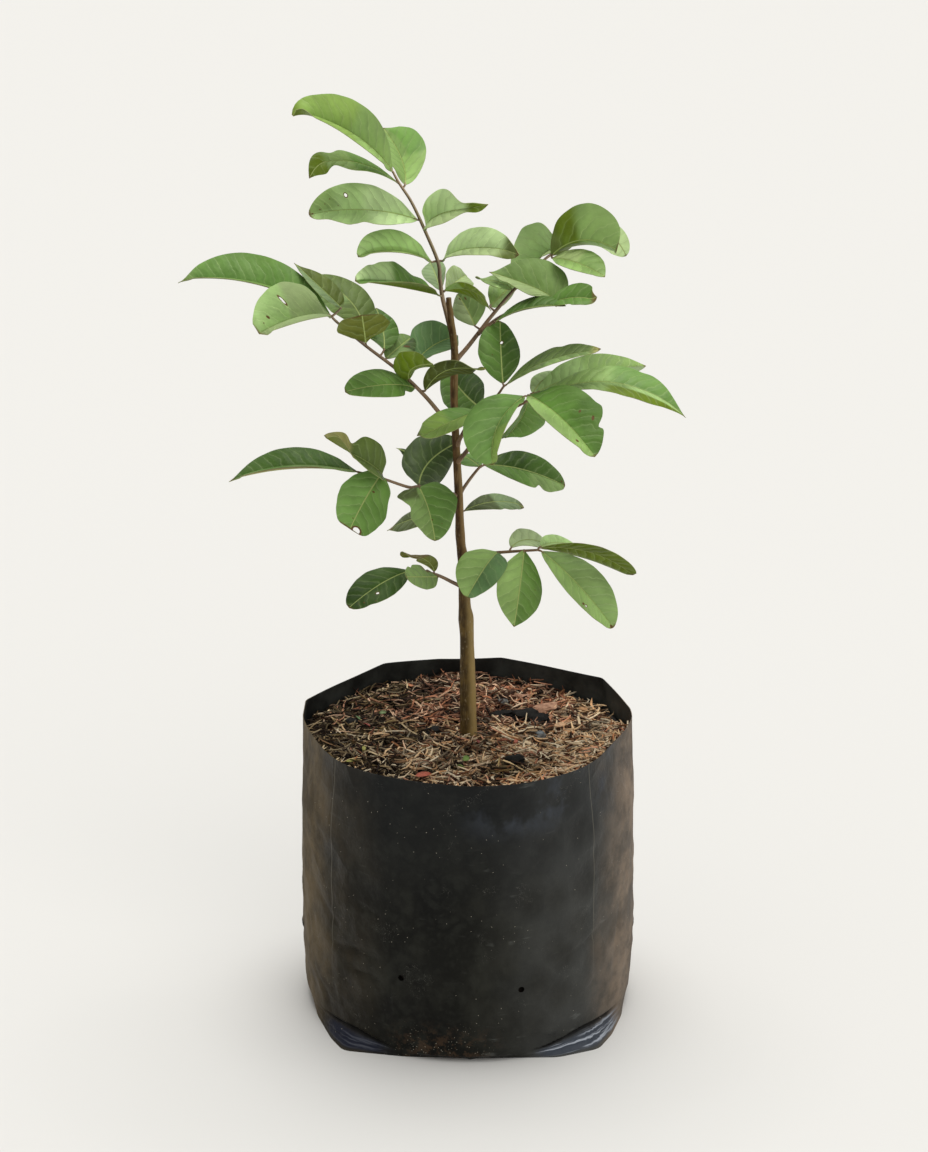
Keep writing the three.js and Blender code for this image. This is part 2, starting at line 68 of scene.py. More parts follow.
# The base's outline, a rounded square whose front corners are folded out.
BASE = [(163, 0), (158, 62), (143, 112), (112, 142), (60, 155), (0, 158), (-60, 155), (-112, 142),
        (-143, 112), (-158, 62), (-162, 0), (-154, -60), (-139, -112), (-126, -140), (-66, -153),
        (2, -157), (91, -155), (132, -136), (146, -104), (157, -60)]
SIDE_HOLE_FORWARD = 0.014
SIDE_HOLE_HEIGHT = 0.084
SIDE_HOLES = [(x, -SIDE_HOLE_FORWARD, SIDE_HOLE_HEIGHT) for x in (-0.1645, 0.1645)]
DRAIN_HOLES = [(-0.067, -0.155, 0.088), (0.053, -0.16, 0.078), *SIDE_HOLES,
               (-0.067, 0.155, 0.088), (0.053, 0.16, 0.078)]
DRAIN_HOLE_RADIUS = 3.2 * MM
# The film stands out round the side holes by LIP_HEIGHT, which fades over LIP_SPREAD.
LIP_HEIGHT = 2.6 * MM
LIP_SPREAD = 6 * MM
# Angles of the seams at the bag's front corners.
SEAMS = (math.radians(216), math.radians(318))
FILM_THICKNESS = 0.6 * MM
SOIL_LEVEL = 0.28

# The stem: centre line and radius in millimetres, from the cut top to the bark in the soil.
STEM = [
    ([448.5, 298, 0], 2.7), ([450.5, 320, 0], 3.6), ([454.5, 350, 0], 3.7),
    ([454.0, 400, 0], 3.9), ([456.5, 450, 0], 3.8), ([459.0, 500, 0], 4.2),
    ([460.5, 540, 0], 4.7), ([463.0, 560, 0], 5.3), ([464.5, 600, 0], 5.9),
    ([466.0, 619, 0], 7.6), ([467.0, 640, 0], 7.0), ([468.0, 700, 0], 8.2),
    ([468.5, 738, 0], 8.8), ([468.5, 760, 0], 9.0),
]

# Colours of leaf tops, as screen colours out of 255.
TONES = {
    "bright": (138, 168, 82),
    "fresh": (142, 174, 98),
    "lime": (170, 204, 128),
    "light": (194, 222, 156),
    "pale": (176, 198, 128),
    "mist": (182, 202, 148),
    "sage": (154, 174, 118),
    "ash": (126, 148, 104),
    "calm": (126, 154, 88),
    "mid": (112, 150, 74),
    "leafy": (98, 134, 60),
    "teal": (100, 134, 84),
    "grey": (108, 130, 74),
    "drab": (98, 118, 54),
    "deep": (86, 120, 50),
    "dark": (70, 100, 38),
    "night": (54, 82, 22),
    "shade": (66, 86, 42),
    "dusk": (80, 92, 52),
    "olive": (104, 126, 24),
    "khaki": (108, 116, 42),
    "moss": (92, 106, 42),
    "umber": (70, 78, 24),
    "straw": (164, 160, 96),
    "brown": (108, 92, 52),
}

# Each frond: its stalks (a centre line with the radius at its root and at its end in mm), then
# its leaflets as (tone, base, middle, tip, half width, lift of the left half, lift of the right
# half, twist towards the tip), the lifts and the twist in degrees out of the sheet to the viewer.
FRONDS = {
    "frond_top": {
        "stalks": [([[451, 330, 0], [443, 300, 1], [440, 280, 3], [438, 262, 5], [426, 233, 10],
                     [412, 203, 16], [399, 183, 20], [393, 172, 22]], 2.4, 1.1)],
        "leaflets": [
            ("fresh", [393, 172, 22], [350, 132, 50], [292, 112, 70], 29, 76, -10, 20),
            ("calm", [405, 185, 18], [401, 158, -15], [383, 128, -50], 27, 52, 8, 0),
            ("leafy", [398, 183, 20], [352, 162, 45], [305, 168, 70], 17, 74, -66, -70),
            ("lime", [418, 220, 12], [365, 210, 45], [309, 215, 70], 27, 60, -18, 0),
            ("light", [426, 228, 10], [442, 214, 38], [479, 208, 64], 23, -10, 74, 30),
            ("light", [443, 261, 6], [469, 249, 35], [515, 251, 70], 22, -28, 80, 20),
            ("fresh", [432, 262, 6], [395, 251, 40], [358, 257, 70], 22, 78, -15, 10),
            ("mid", [441, 296, 4], [399, 287, 45], [355, 281, 80], 24, 108, -30, -20),
            ("ash", [440, 290, -4], [436, 276, -45], [430, 262, -85], 13, 20, 25, 0),
            ("sage", [446, 290, -4], [457, 281, -48], [466, 275, -85], 15, 10, 30, 0),
            ("fresh", [444, 291, 4], [470, 290, 24], [489, 306, 44], 16, 72, -62, 0),
        ],
    },
    "frond_upper_left": {
        "stalks": [([[449, 424, 0], [441, 415, 8], [425, 396, 18], [400, 372, 28],
                     [366, 346, 40], [338, 323, 46], [331, 316, 48]], 2.4, 1.1)],
        "leaflets": [
            ("mid", [331, 316, 46], [258, 283, 16], [180, 280, -20], 29, 80, -20, 0),
            ("sage", [330, 315, 50], [296, 318, 75], [259, 334, 105], 37, 82, -5, 0),
            ("grey", [341, 308, 44], [327, 294, 34], [294, 263, 14], 15, 68, -35, 0),
            ("drab", [365, 334, 34], [351, 302, 2], [316, 277, -30], 23, 25, -40, 0),
            ("khaki", [366, 344, 40], [364, 329, 50], [362, 315, 60], 26, 8, 5, 0),
            ("deep", [384, 350, 30], [383, 330, 0], [376, 308, -30], 17, 10, -30, 0),
            ("calm", [386, 359, 30], [398, 348, 5], [412, 337, -18], 15, -20, 40, 0),
            ("teal", [417, 362, 12], [433, 346, -22], [458, 336, -42], 27, -15, 60, 0),
            ("olive", [409, 380, 26], [413, 368, 44], [433, 364, 66], 21, 25, -72, 0),
            ("umber", [425, 391, 22], [447, 370, 38], [480, 371, 56], 20, 62, -66, 0),
            ("leafy", [415, 388, 24], [385, 385, 50], [345, 392, 75], 21, 55, -40, 0),
        ],
    },
    "frond_upper_right": {
        "stalks": [([[456, 360, 0], [466, 349, -5], [477, 335, -10], [490, 318, -16],
                     [512, 292, -26], [525, 280, -32], [549, 256, -42], [577, 243, -52]],
                    2.4, 1.2),
                   ([[478, 334, -10], [500, 317, -8], [530, 305, -4], [556, 304, 2]], 1.8, 1.1)],
        "leaflets": [
            ("mist", [475, 326, -12], [467, 309, -18], [457, 294, -24], 22, -50, 15, 0),
            ("fresh", [490, 306, -18], [506, 291, -42], [520, 277, -62], 18, -20, -62, 0),
            ("lime", [512, 290, -26], [497, 282, -28], [473, 280, -34], 12, 60, -50, 40),
            ("dark", [494, 323, -4], [528, 308, 10], [566, 306, 22], 20, -62, 80, 0),
            ("deep", [545, 306, 6], [572, 298, 18], [597, 301, 34], 17, -38, 72, 20),
            ("calm", [556, 306, 2], [541, 291, -22], [489, 272, -26], 30, 74, -10, 0),
            ("lime", [555, 252, -44], [545, 254, -70], [517, 284, -98], 34, 80, -10, 0),
            ("fresh", [551, 256, -42], [582, 240, -28], [617, 250, -10], 36, 5, -80, 0),
            ("pale", [552, 258, -40], [577, 263, -20], [605, 277, 5], 19, -35, 65, 0),
            ("light", [577, 243, -54], [607, 236, -88], [626, 256, -116], 15, -20, 20, 20),
        ],
    },
    "frond_centre": {
        "stalks": [([[455, 449, 0], [466, 428, 10], [481, 409, 15], [495, 398, 18],
                     [504, 386, 20]], 2.2, 1.1)],
        "leaflets": [
            ("leafy", [481, 408, 14], [462, 391, -22], [444, 366, -60], 23, -20, -20, 0),
            ("bright", [480, 411, 17], [451, 422, 32], [420, 438, 42], 20, 64, -44, 0),
            ("dark", [503, 384, 20], [501, 355, 8], [500, 321, -15], 23, 15, -35, 0),
            ("grey", [506, 385, 20], [548, 361, 36], [599, 351, 56], 20, -66, 78, 0),
        ],
    },
    "frond_right": {
        "stalks": [([[457, 463, 0], [466, 452, 14], [482, 432, 26], [500, 415, 34],
                     [525, 402, 42], [531, 394, 44]], 2.4, 1.2)],
        "leaflets": [
            ("mid", [525, 396, 46], [498, 426, 68], [493, 465, 92], 32, 76, -8, 0),
            ("mid", [527, 401, 40], [521, 418, 14], [505, 438, -14], 26, -30, 76, 0),
            ("leafy", [528, 395, 46], [562, 419, 84], [595, 457, 118], 35, -5, 70, 0),
            ("light", [533, 394, 42], [547, 378, 12], [573, 375, -22], 15, -62, 10, 0),
            ("lime", [536, 393, 42], [586, 374, 4], [646, 366, -30], 22, -35, 60, 0),
            ("lime", [541, 395, 44], [615, 383, 50], [684, 414, 58], 25, -50, 70, 20),
        ],
    },
    "frond_small_right": {
        "stalks": [([[461, 492, 0], [470, 479, -10], [479, 468, -16], [484, 465, -20]],
                    1.8, 1.1)],
        "leaflets": [
            ("dark", [484, 465, -20], [524, 470, -32], [565, 486, -46], 22, -35, 50, 0),
            ("mid", [480, 467, -18], [471, 460, -34], [460, 454, -54], 12, 40, -50, 0),
        ],
    },
    "frond_left": {
        "stalks": [([[458, 496, 0], [445, 492, 10], [419, 487, 20], [408, 487, 24],
                     [378, 477, 32], [358, 472, 38]], 2.2, 1.1)],
        "leaflets": [
            ("leafy", [419, 487, 22], [429, 512, 42], [435, 541, 66], 27, -5, 36, 0),
            ("shade", [419, 486, 16], [430, 461, -18], [461, 441, -44], 28, -20, -38, 0),
            ("shade", [418, 485, 12], [416, 464, -18], [406, 446, -34], 11, -50, -50, 0),
            ("drab", [382, 475, 32], [365, 461, 50], [324, 440, 78], 23, 74, -14, 0),
            ("leafy", [381, 474, 34], [364, 501, 58], [350, 529, 82], 28, -18, 20, 0),
            ("calm", [358, 472, 38], [295, 466, 28], [236, 478, 14], 26, 84, -45, 0),
        ],
    },
    "frond_back": {
        "stalks": [([[459, 522, 0], [459, 514, -16], [461, 511, -26]], 1.8, 1.2)],
        "leaflets": [
            ("dusk", [464, 511, -26], [494, 502, -40], [524, 506, -56], 16, -58, 60, 0),
            ("dusk", [456, 511, -26], [420, 517, -40], [389, 529, -58], 17, 58, -60, 0),
        ],
    },
    "frond_low_right": {
        "stalks": [([[462, 559, 0], [473, 555, 8], [505, 552, 20], [538, 550, 30]], 2.2, 1.2)],
        "leaflets": [
            ("teal", [498, 552, 18], [484, 569, 40], [467, 598, 62], 26, 44, -10, 0),
            ("leafy", [524, 550, 26], [520, 585, 48], [514, 627, 70], 26, -30, 30, 0),
            ("calm", [541, 551, 32], [578, 585, 52], [613, 628, 72], 27, -25, 62, 0),
            ("olive", [539, 548, 28], [590, 552, 10], [633, 575, -12], 19, 66, -66, 0),
            ("mist", [511, 548, 18], [527, 540, -4], [549, 546, -30], 16, -45, 60, 0),
            ("lime", [540, 547, 26], [556, 543, 2], [577, 546, -24], 13, -50, 60, 0),
        ],
    },
    "frond_low_left": {
        "stalks": [([[464, 588, 0], [454, 583, 10], [434, 574, 20], [410, 571, 28]], 2.2, 1.2)],
        "leaflets": [
            ("khaki", [434, 572, 18], [425, 560, 2], [402, 554, -16], 12, 60, -50, 40),
            ("calm", [438, 577, 20], [423, 577, 42], [406, 577, 66], 15, 35, -35, 0),
            ("night", [410, 571, 28], [381, 584, 50], [349, 608, 75], 22, 45, -38, 0),
        ],
    },
}


def colour(red, green, blue):
    """A screen colour out of 255 as linear values with full alpha."""
    linear = [((c / 255 + 0.055) / 1.055) ** 2.4 if c > 10 else c / 3295
              for c in (red, green, blue)]
    return (*linear, 1)


def mix(a, b, share):
    return a + (b - a) * share


def smooth(low, high, value):
    t = min(1, max(0, (value - low) / (high - low)))
    return t * t * (3 - 2 * t)


def spin(a, b, angle):
    """A pair of lengths turned by an angle in their own plane."""
    return a * math.cos(angle) - b * math.sin(angle), a * math.sin(angle) + b * math.cos(angle)


def sight_line(across, down):
    """The direction from the viewer to a place of the sheet."""
    ray = VIEW_AXIS.copy()
    ray.x += (across - SHEET_CENTRE[0]) * MM / VIEW_DISTANCE
    return ray + VIEW_UP * (SHEET_CENTRE[1] - down) * MM / VIEW_DISTANCE


def sheet(place):
    """The point in space that a place of the sheet stands for."""
    across, down, forward = place
    ray = sight_line(across, down)
    return EYE + ray * ((-forward * MM - EYE.y) / ray.y)


# Shader maths -----------------------------------------------------------------------------------

class Value:
    """An output of a material's node, so that shader maths reads as plain sums."""

    def __init__(self, tree, socket=None):
        self.tree = tree
        self.socket = socket

    def node(self, kind, settings=None, inputs=None, output=0):
        made = self.tree.nodes.new(kind)
        for name, value in (settings or {}).items():
            setattr(made, name, value)
        for name, value in (inputs or {}).items():
            feed(self.tree, made.inputs[name], value)
        return Value(self.tree, made.outputs[output])

    def math(self, operation, *others):
        return self.node("ShaderNodeMath", {"operation": operation},
                         dict(enumerate([self, *others])))

    def __add__(self, other):
        return self.math("ADD", other)

    def __sub__(self, other):
        return self.math("SUBTRACT", other)

    def __rsub__(self, other):
        return self.node("ShaderNodeMath", {"operation": "SUBTRACT"}, {0: other, 1: self})

    def __mul__(self, other):
        return self.math("MULTIPLY", other)

    def __truediv__(self, other):
        return self.math("DIVIDE", other)

    __radd__ = __add__
    __rmul__ = __mul__

    def step(self, low, high):
        """0 below low and 1 above high, with a smooth rise between them."""
        return self.node("ShaderNodeMapRange", {"interpolation_type": "SMOOTHSTEP"},
                         {"Value": self, "From Min": low, "From Max": high})

    def mixed(self, share, first, second):
        """The colour mixed from first to second by a share."""
        return self.node("ShaderNodeMix", {"data_type": "RGBA"},
                         {0: share, 6: first, 7: second}, output=2)

    def between(self, first, second):
        """The colour mixed from first to second by this value."""
        return self.mixed(self, first, second)

    def coat(self, share, *shade):
        """This colour with a screen colour laid over it by a share."""
        return self.mixed(share, self, colour(*shade))

    def times(self, vector):
        return self.node("ShaderNodeVectorMath", {"operation": "MULTIPLY"}, {0: self, 1: vector})

    def noise(self, scale, detail=3, roughness=0.5):
        return self.node("ShaderNodeTexNoise", None,
                         {"Vector": self, "Scale": scale, "Detail": detail,
                          "Roughness": roughness})

    def cells(self, scale, feature="F1"):
        return self.node("ShaderNodeTexVoronoi", {"feature": feature},
                         {"Vector": self, "Scale": scale})

    def part(self, axis):
        return self.node("ShaderNodeSeparateXYZ", None, {0: self}, output="XYZ".index(axis))


def feed(tree, socket, value):
    if isinstance(value, Value):
        tree.links.new(value.socket, socket)
    else:
        socket.default_value = value


class Material(Value):
    """The start of a new material's maths."""

    def __init__(self, name):
        self.material = bpy.data.materials.new(name)
        self.material.use_nodes = True
        self.material.node_tree.nodes.clear()
        super().__init__(self.material.node_tree)

    def place(self):
        """The point's place in its object, in metres."""
        return self.node("ShaderNodeTexCoord", output=3)

    def colour_map(self, name):
        """A colour that is stored with the mesh."""
        return self.node("ShaderNodeAttribute", {"attribute_name": name})

    def number_map(self, name):
        """A number that is stored with the mesh."""
        return self.node("ShaderNodeAttribute", {"attribute_name": name}, output=2)

    def finish(self, base, rough, height=None, specular=0.5):
        """The material with its colour and roughness, and a bump made from a height in metres."""
        feeds = {"Base Color": base, "Roughness": rough, "Specular IOR Level": specular}
        if height is not None:
            feeds["Normal"] = self.node(
                "ShaderNodeBump", None, {"Strength": 1.0, "Distance": 1.0, "Height": height})
        shader = self.node("ShaderNodeBsdfPrincipled", None, feeds)
        output = self.tree.nodes.new("ShaderNodeOutputMaterial")
        feed(self.tree, output.inputs[0], shader)
        return self.material


def plain_material(name, dark, light, scale, rough, relief=0.5):
    """A matt material whose colour wanders between two screen colours."""
    start = Material(name)
    place = start.place()
    lumps = place.noise(scale, 4, 0.6)
    base = lumps.step(0.3, 0.7).between(colour(*dark), colour(*light))
    return start.finish(base, lumps * 0.2 + rough, lumps * relief * MM, specular=0.15)

# Leaf materials ---------------------------------------------------------------------------------
VEIN_SPACING = 11.5 * MM
MIDRIB_COLOUR = colour(172, 188, 112)
SPREAD_UNIT = 0.1  # one unit of the Spread map is 100 mm along and across the blade


def vein_maps(start):
    """Masks worked out from the blade's Spread map, which holds the true distances from the
    midrib and from the base: midrib, side vein lines, the ridge between veins, distances."""
    spread = start.node("ShaderNodeUVMap", {"uv_map": "Spread"})
    across = spread.part("X") * SPREAD_UNIT
    along = spread.part("Y") * SPREAD_UNIT
    reach = across.math("ABSOLUTE")
    side = across.math("GREATER_THAN", 0)
    wander = spread.noise(7, 2) - 0.5
    phase = (along - reach * 0.62 - reach * reach * 8 + wander * 0.012) / VEIN_SPACING
    phase = phase + side * 0.42
    place = phase.math("FRACT")
    from_vein = (place - 0.5).math("ABSOLUTE") * -1 + 0.5
    off = from_vein * VEIN_SPACING
    line = 1 - off.step(0.10 * MM, 0.42 * MM)
    glow = 1 - off.step(0.2 * MM, 2.4 * MM)
    fading = 1 - (reach / 0.03).step(0.35, 1.2)
    taper = 1 - (along / 0.12).step(0.0, 1.3)
    midrib = 1 - (reach - taper * 0.4 * MM).step(0.15 * MM, 0.5 * MM)
    return {"spread": spread, "reach": reach, "place": place, "line": line, "glow": glow,
            "fading": fading, "midrib": midrib, "from_vein": from_vein}


def make_leaf_top():
    start = Material("leaf_top")
    maps = vein_maps(start)
    tint = start.colour_map("Tint")
    place = start.place()
    broad = place.noise(24, 2)
    mottle = place.noise(190, 3, 0.6)
    bloom_and_sheen = place.noise(34, 3, 0.6)
    net = maps["spread"].cells(42, "DISTANCE_TO_EDGE").step(0.0, 0.06)
    shade = (broad - 0.5) * 1.3 + (mottle - 0.5) * 0.26 + 0.98
    # Painted shade: the blade darkens towards its margins.
    shade = shade - (maps["reach"] / 0.03).step(0.3, 1.1) * 0.10
    # Painted light and shade on the quilting: each strip between side veins runs from darker to
    # lighter, and is lighter away from the veins.
    quilt_shading = (maps["place"] - 0.5) * 0.22 + (maps["from_vein"] - 0.25) * 0.16
    shade = shade + quilt_shading * maps["fading"]
    base = tint.times(shade.node("ShaderNodeCombineXYZ", None, {0: shade, 1: shade, 2: shade}))
    soft = tint.coat(0.3, 168, 190, 132)
    vein = tint.times((1.6, 1.5, 1.6)).coat(0.35, 178, 194, 132)
    # Pale patches, partly waxy bloom and partly painted sheen.
    base = (bloom_and_sheen.step(0.45, 0.75) * 0.4).between(base, soft)
    yellowing = place.noise(13, 2).step(0.55, 0.78) * 0.22
    base = yellowing.between(base, tint.times((1.25, 1.1, 0.8)))
    base = (maps["glow"] * maps["fading"] * 0.35).between(base, soft)
    base = (maps["line"] * maps["fading"] * (place.noise(40, 2) * 1.15)).between(base, vein)
    base = ((1 - net) * 0.14).between(base, soft)
    base = (maps["midrib"] * 0.9).between(base, MIDRIB_COLOUR)
    speck = 1 - place.cells(75).step(0.030, 0.055)
    chance = place.noise(30, 1).step(0.60, 0.64)
    base = base.coat(speck * chance * 0.8, 112, 84, 46)
    burn = start.number_map("Burn")
    base = base.coat(burn.step(0.2, 0.75), 98, 72, 40)
    rough = mottle * 0.14 + broad * 0.16 + 0.36 + burn * 0.2
    ridge = maps["from_vein"].math("POWER", 0.6) * 1.2 * MM * maps["fading"]
    height = ridge - maps["midrib"] * 0.3 * MM + net * 0.025 * MM + mottle * 0.16 * MM
    height = height + bloom_and_sheen * 0.5 * MM
    return start.finish(base, rough, height, specular=0.2)


def make_leaf_under():
    start = Material("leaf_underside")
    maps = vein_maps(start)
    place = start.place()
    tint = start.colour_map("Tint")
    broad = place.noise(30, 2)
    mottle = place.noise(230, 3, 0.6)
    # The underside's olive colours are partly its own and partly painted light shining through the
    # blade.
    base = broad.step(0.3, 0.7).between(colour(86, 106, 26), colour(102, 114, 40))
    base = base.mixed(0.2, base, tint)
    base = base.coat(maps["line"] * maps["fading"] * 0.5, 132, 138, 78)
    base = base.coat(maps["midrib"] * 0.9, 150, 142, 82)
    rough = mottle * 0.1 + 0.5
    height = maps["line"] * 0.22 * MM + maps["midrib"] * 0.5 * MM + mottle * 0.08 * MM
    return start.finish(base, rough, height, specular=0.2)


def make_leaf_edge():
    start = Material("leaf_edge")
    place = start.place()
    base = place.noise(60, 2).step(0.35, 0.75).between(colour(152, 164, 98), colour(112, 104, 62))
    return start.finish(base, place.noise(200, 2) * 0.1 + 0.5)


def make_stalk_material():
    start = Material("stalk_bark")
    place = start.place()
    broad = place.noise(38, 3)
    fibre = place.times((1, 1, 0.2)).noise(900, 3)
    base = broad.step(0.35, 0.7).between(colour(80, 60, 44), colour(124, 98, 72))
    base = base.coat(fibre.step(0.5, 0.7) * 0.3, 172, 148, 118)
    # Painted light: the side that faces +x, to the right, is paler, most of all on the highest
    # stalks.
    side = start.number_map("Side")
    high = place.part("Z").step(0.71, 0.75)
    base = base.coat(side.step(-0.35, 0.8) * (0.25 + high * 0.5), 206, 184, 158)
    height = fibre * 0.15 * MM + broad * 0.2 * MM
    return start.finish(base, fibre * 0.2 + 0.5, height, specular=0.25)


# Mesh helpers -----------------------------------------------------------------------------------

def to_object(bm, name, materials):
    mesh = bpy.data.meshes.new(name)
    bm.to_mesh(mesh)
    bm.free()
    mesh.shade_smooth()
    piece = bpy.data.objects.new(name, mesh)
    bpy.context.scene.collection.objects.link(piece)
    for material in materials:
        mesh.materials.append(material)
    return piece


def join(whole, part):
    """Adds one mesh to another."""
    mesh = bpy.data.meshes.new("part")
    part.to_mesh(mesh)
    part.free()
    whole.from_mesh(mesh)
    bpy.data.meshes.remove(mesh)


def store_side(bm):
    """Stores how far each point faces to the right."""
    side = bm.verts.layers.float.new("Side")
    bm.normal_update()
    for vert in bm.verts:
        vert[side] = vert.normal.x


def thicken(piece, thickness, offset=-1, inner=0, rim=0):
    """Gives a film its thickness. inner and rim count how much further on in the piece's
    materials those of its inner side and its rim stand."""
    solid = piece.modifiers.new("thickness", "SOLIDIFY")
    solid.thickness = thickness
    solid.offset = offset
    solid.material_offset = inner
    solid.material_offset_rim = rim


def apply_modifiers(piece):
    """Bakes the piece's modifiers into its mesh."""
    graph = bpy.context.evaluated_depsgraph_get()
    mesh = bpy.data.meshes.new_from_object(piece.evaluated_get(graph))
    piece.modifiers.clear()
    piece.data = mesh


def place_piece(piece, slot, *nodes):
    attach(piece, "root")
    if nodes:
        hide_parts(*nodes)


def smooth_line(points, steps):
    """Even steps along a smooth line through the points."""
    line = []
    for i in range(steps + 1):
        where = i / steps * (len(points) - 1)
        k = min(int(where), len(points) - 2)
        a, b = points[k], points[k + 1]
        before = points[k - 1] if k > 0 else a * 2 - b
        after = points[k + 2] if k + 2 < len(points) else b * 2 - a
        t = where - k
        line.append(0.5 * (2 * a + (b - before) * t
                           + (2 * before - 5 * a + 4 * b - after) * t * t
                           + (3 * a - before - 3 * b + after) * t ** 3))
    return line


def tube(line, radius_at, sides):
    """A closed tube round a line: a flat grid wrapped round it, its seam merged and ends filled.
    radius_at(t, angle) gives the radius at a share t of the line."""
    bm = bmesh.new()
    bm.loops.layers.uv.new("Wrap")
    bmesh.ops.create_grid(bm, x_segments=sides, y_segments=len(line) - 1, size=0.5,
                          calc_uvs=True)
    reference = Vector((0.2, 1, 0.1))
    for vert in bm.verts:
        t = vert.co.y + 0.5
        row = round(t * (len(line) - 1))
        angle = (vert.co.x + 0.5) * 2 * math.pi
        tangent = (line[min(row + 1, len(line) - 1)] - line[max(row - 1, 0)]).normalized()
        across = tangent.cross(reference).normalized()
        along = across.cross(tangent)
        radius = radius_at(t, angle)
        vert.co = line[row] + (across * math.cos(angle) + along * math.sin(angle)) * radius
    bmesh.ops.remove_doubles(bm, verts=bm.verts, dist=1e-7)
    bmesh.ops.holes_fill(bm, edges=bm.edges, sides=sides)
    bmesh.ops.recalc_face_normals(bm, faces=bm.faces)
    return bm


# Leaflets ---------------------------------------------------------------------------------------
LEAF_THICKNESS = 0.55 * MM
# How many degrees more a blade folds at its midrib than at its margins.
CUPPING = 14
LEAF_COLUMNS = 24
LEAF_ROWS = 56

# Parts of a blade for the zones: its whole length, its full width, its left and right halves, and
# its width with soft margins. Limits past the blade's own ends keep a zone's soft edges off it.
ALL = (-0.2, 1.2)
BOTH = (-1.2, 1.2)
LEFT = (-1.2, 0)
RIGHT = (0, 1.2)
INNER = (-1, 1)
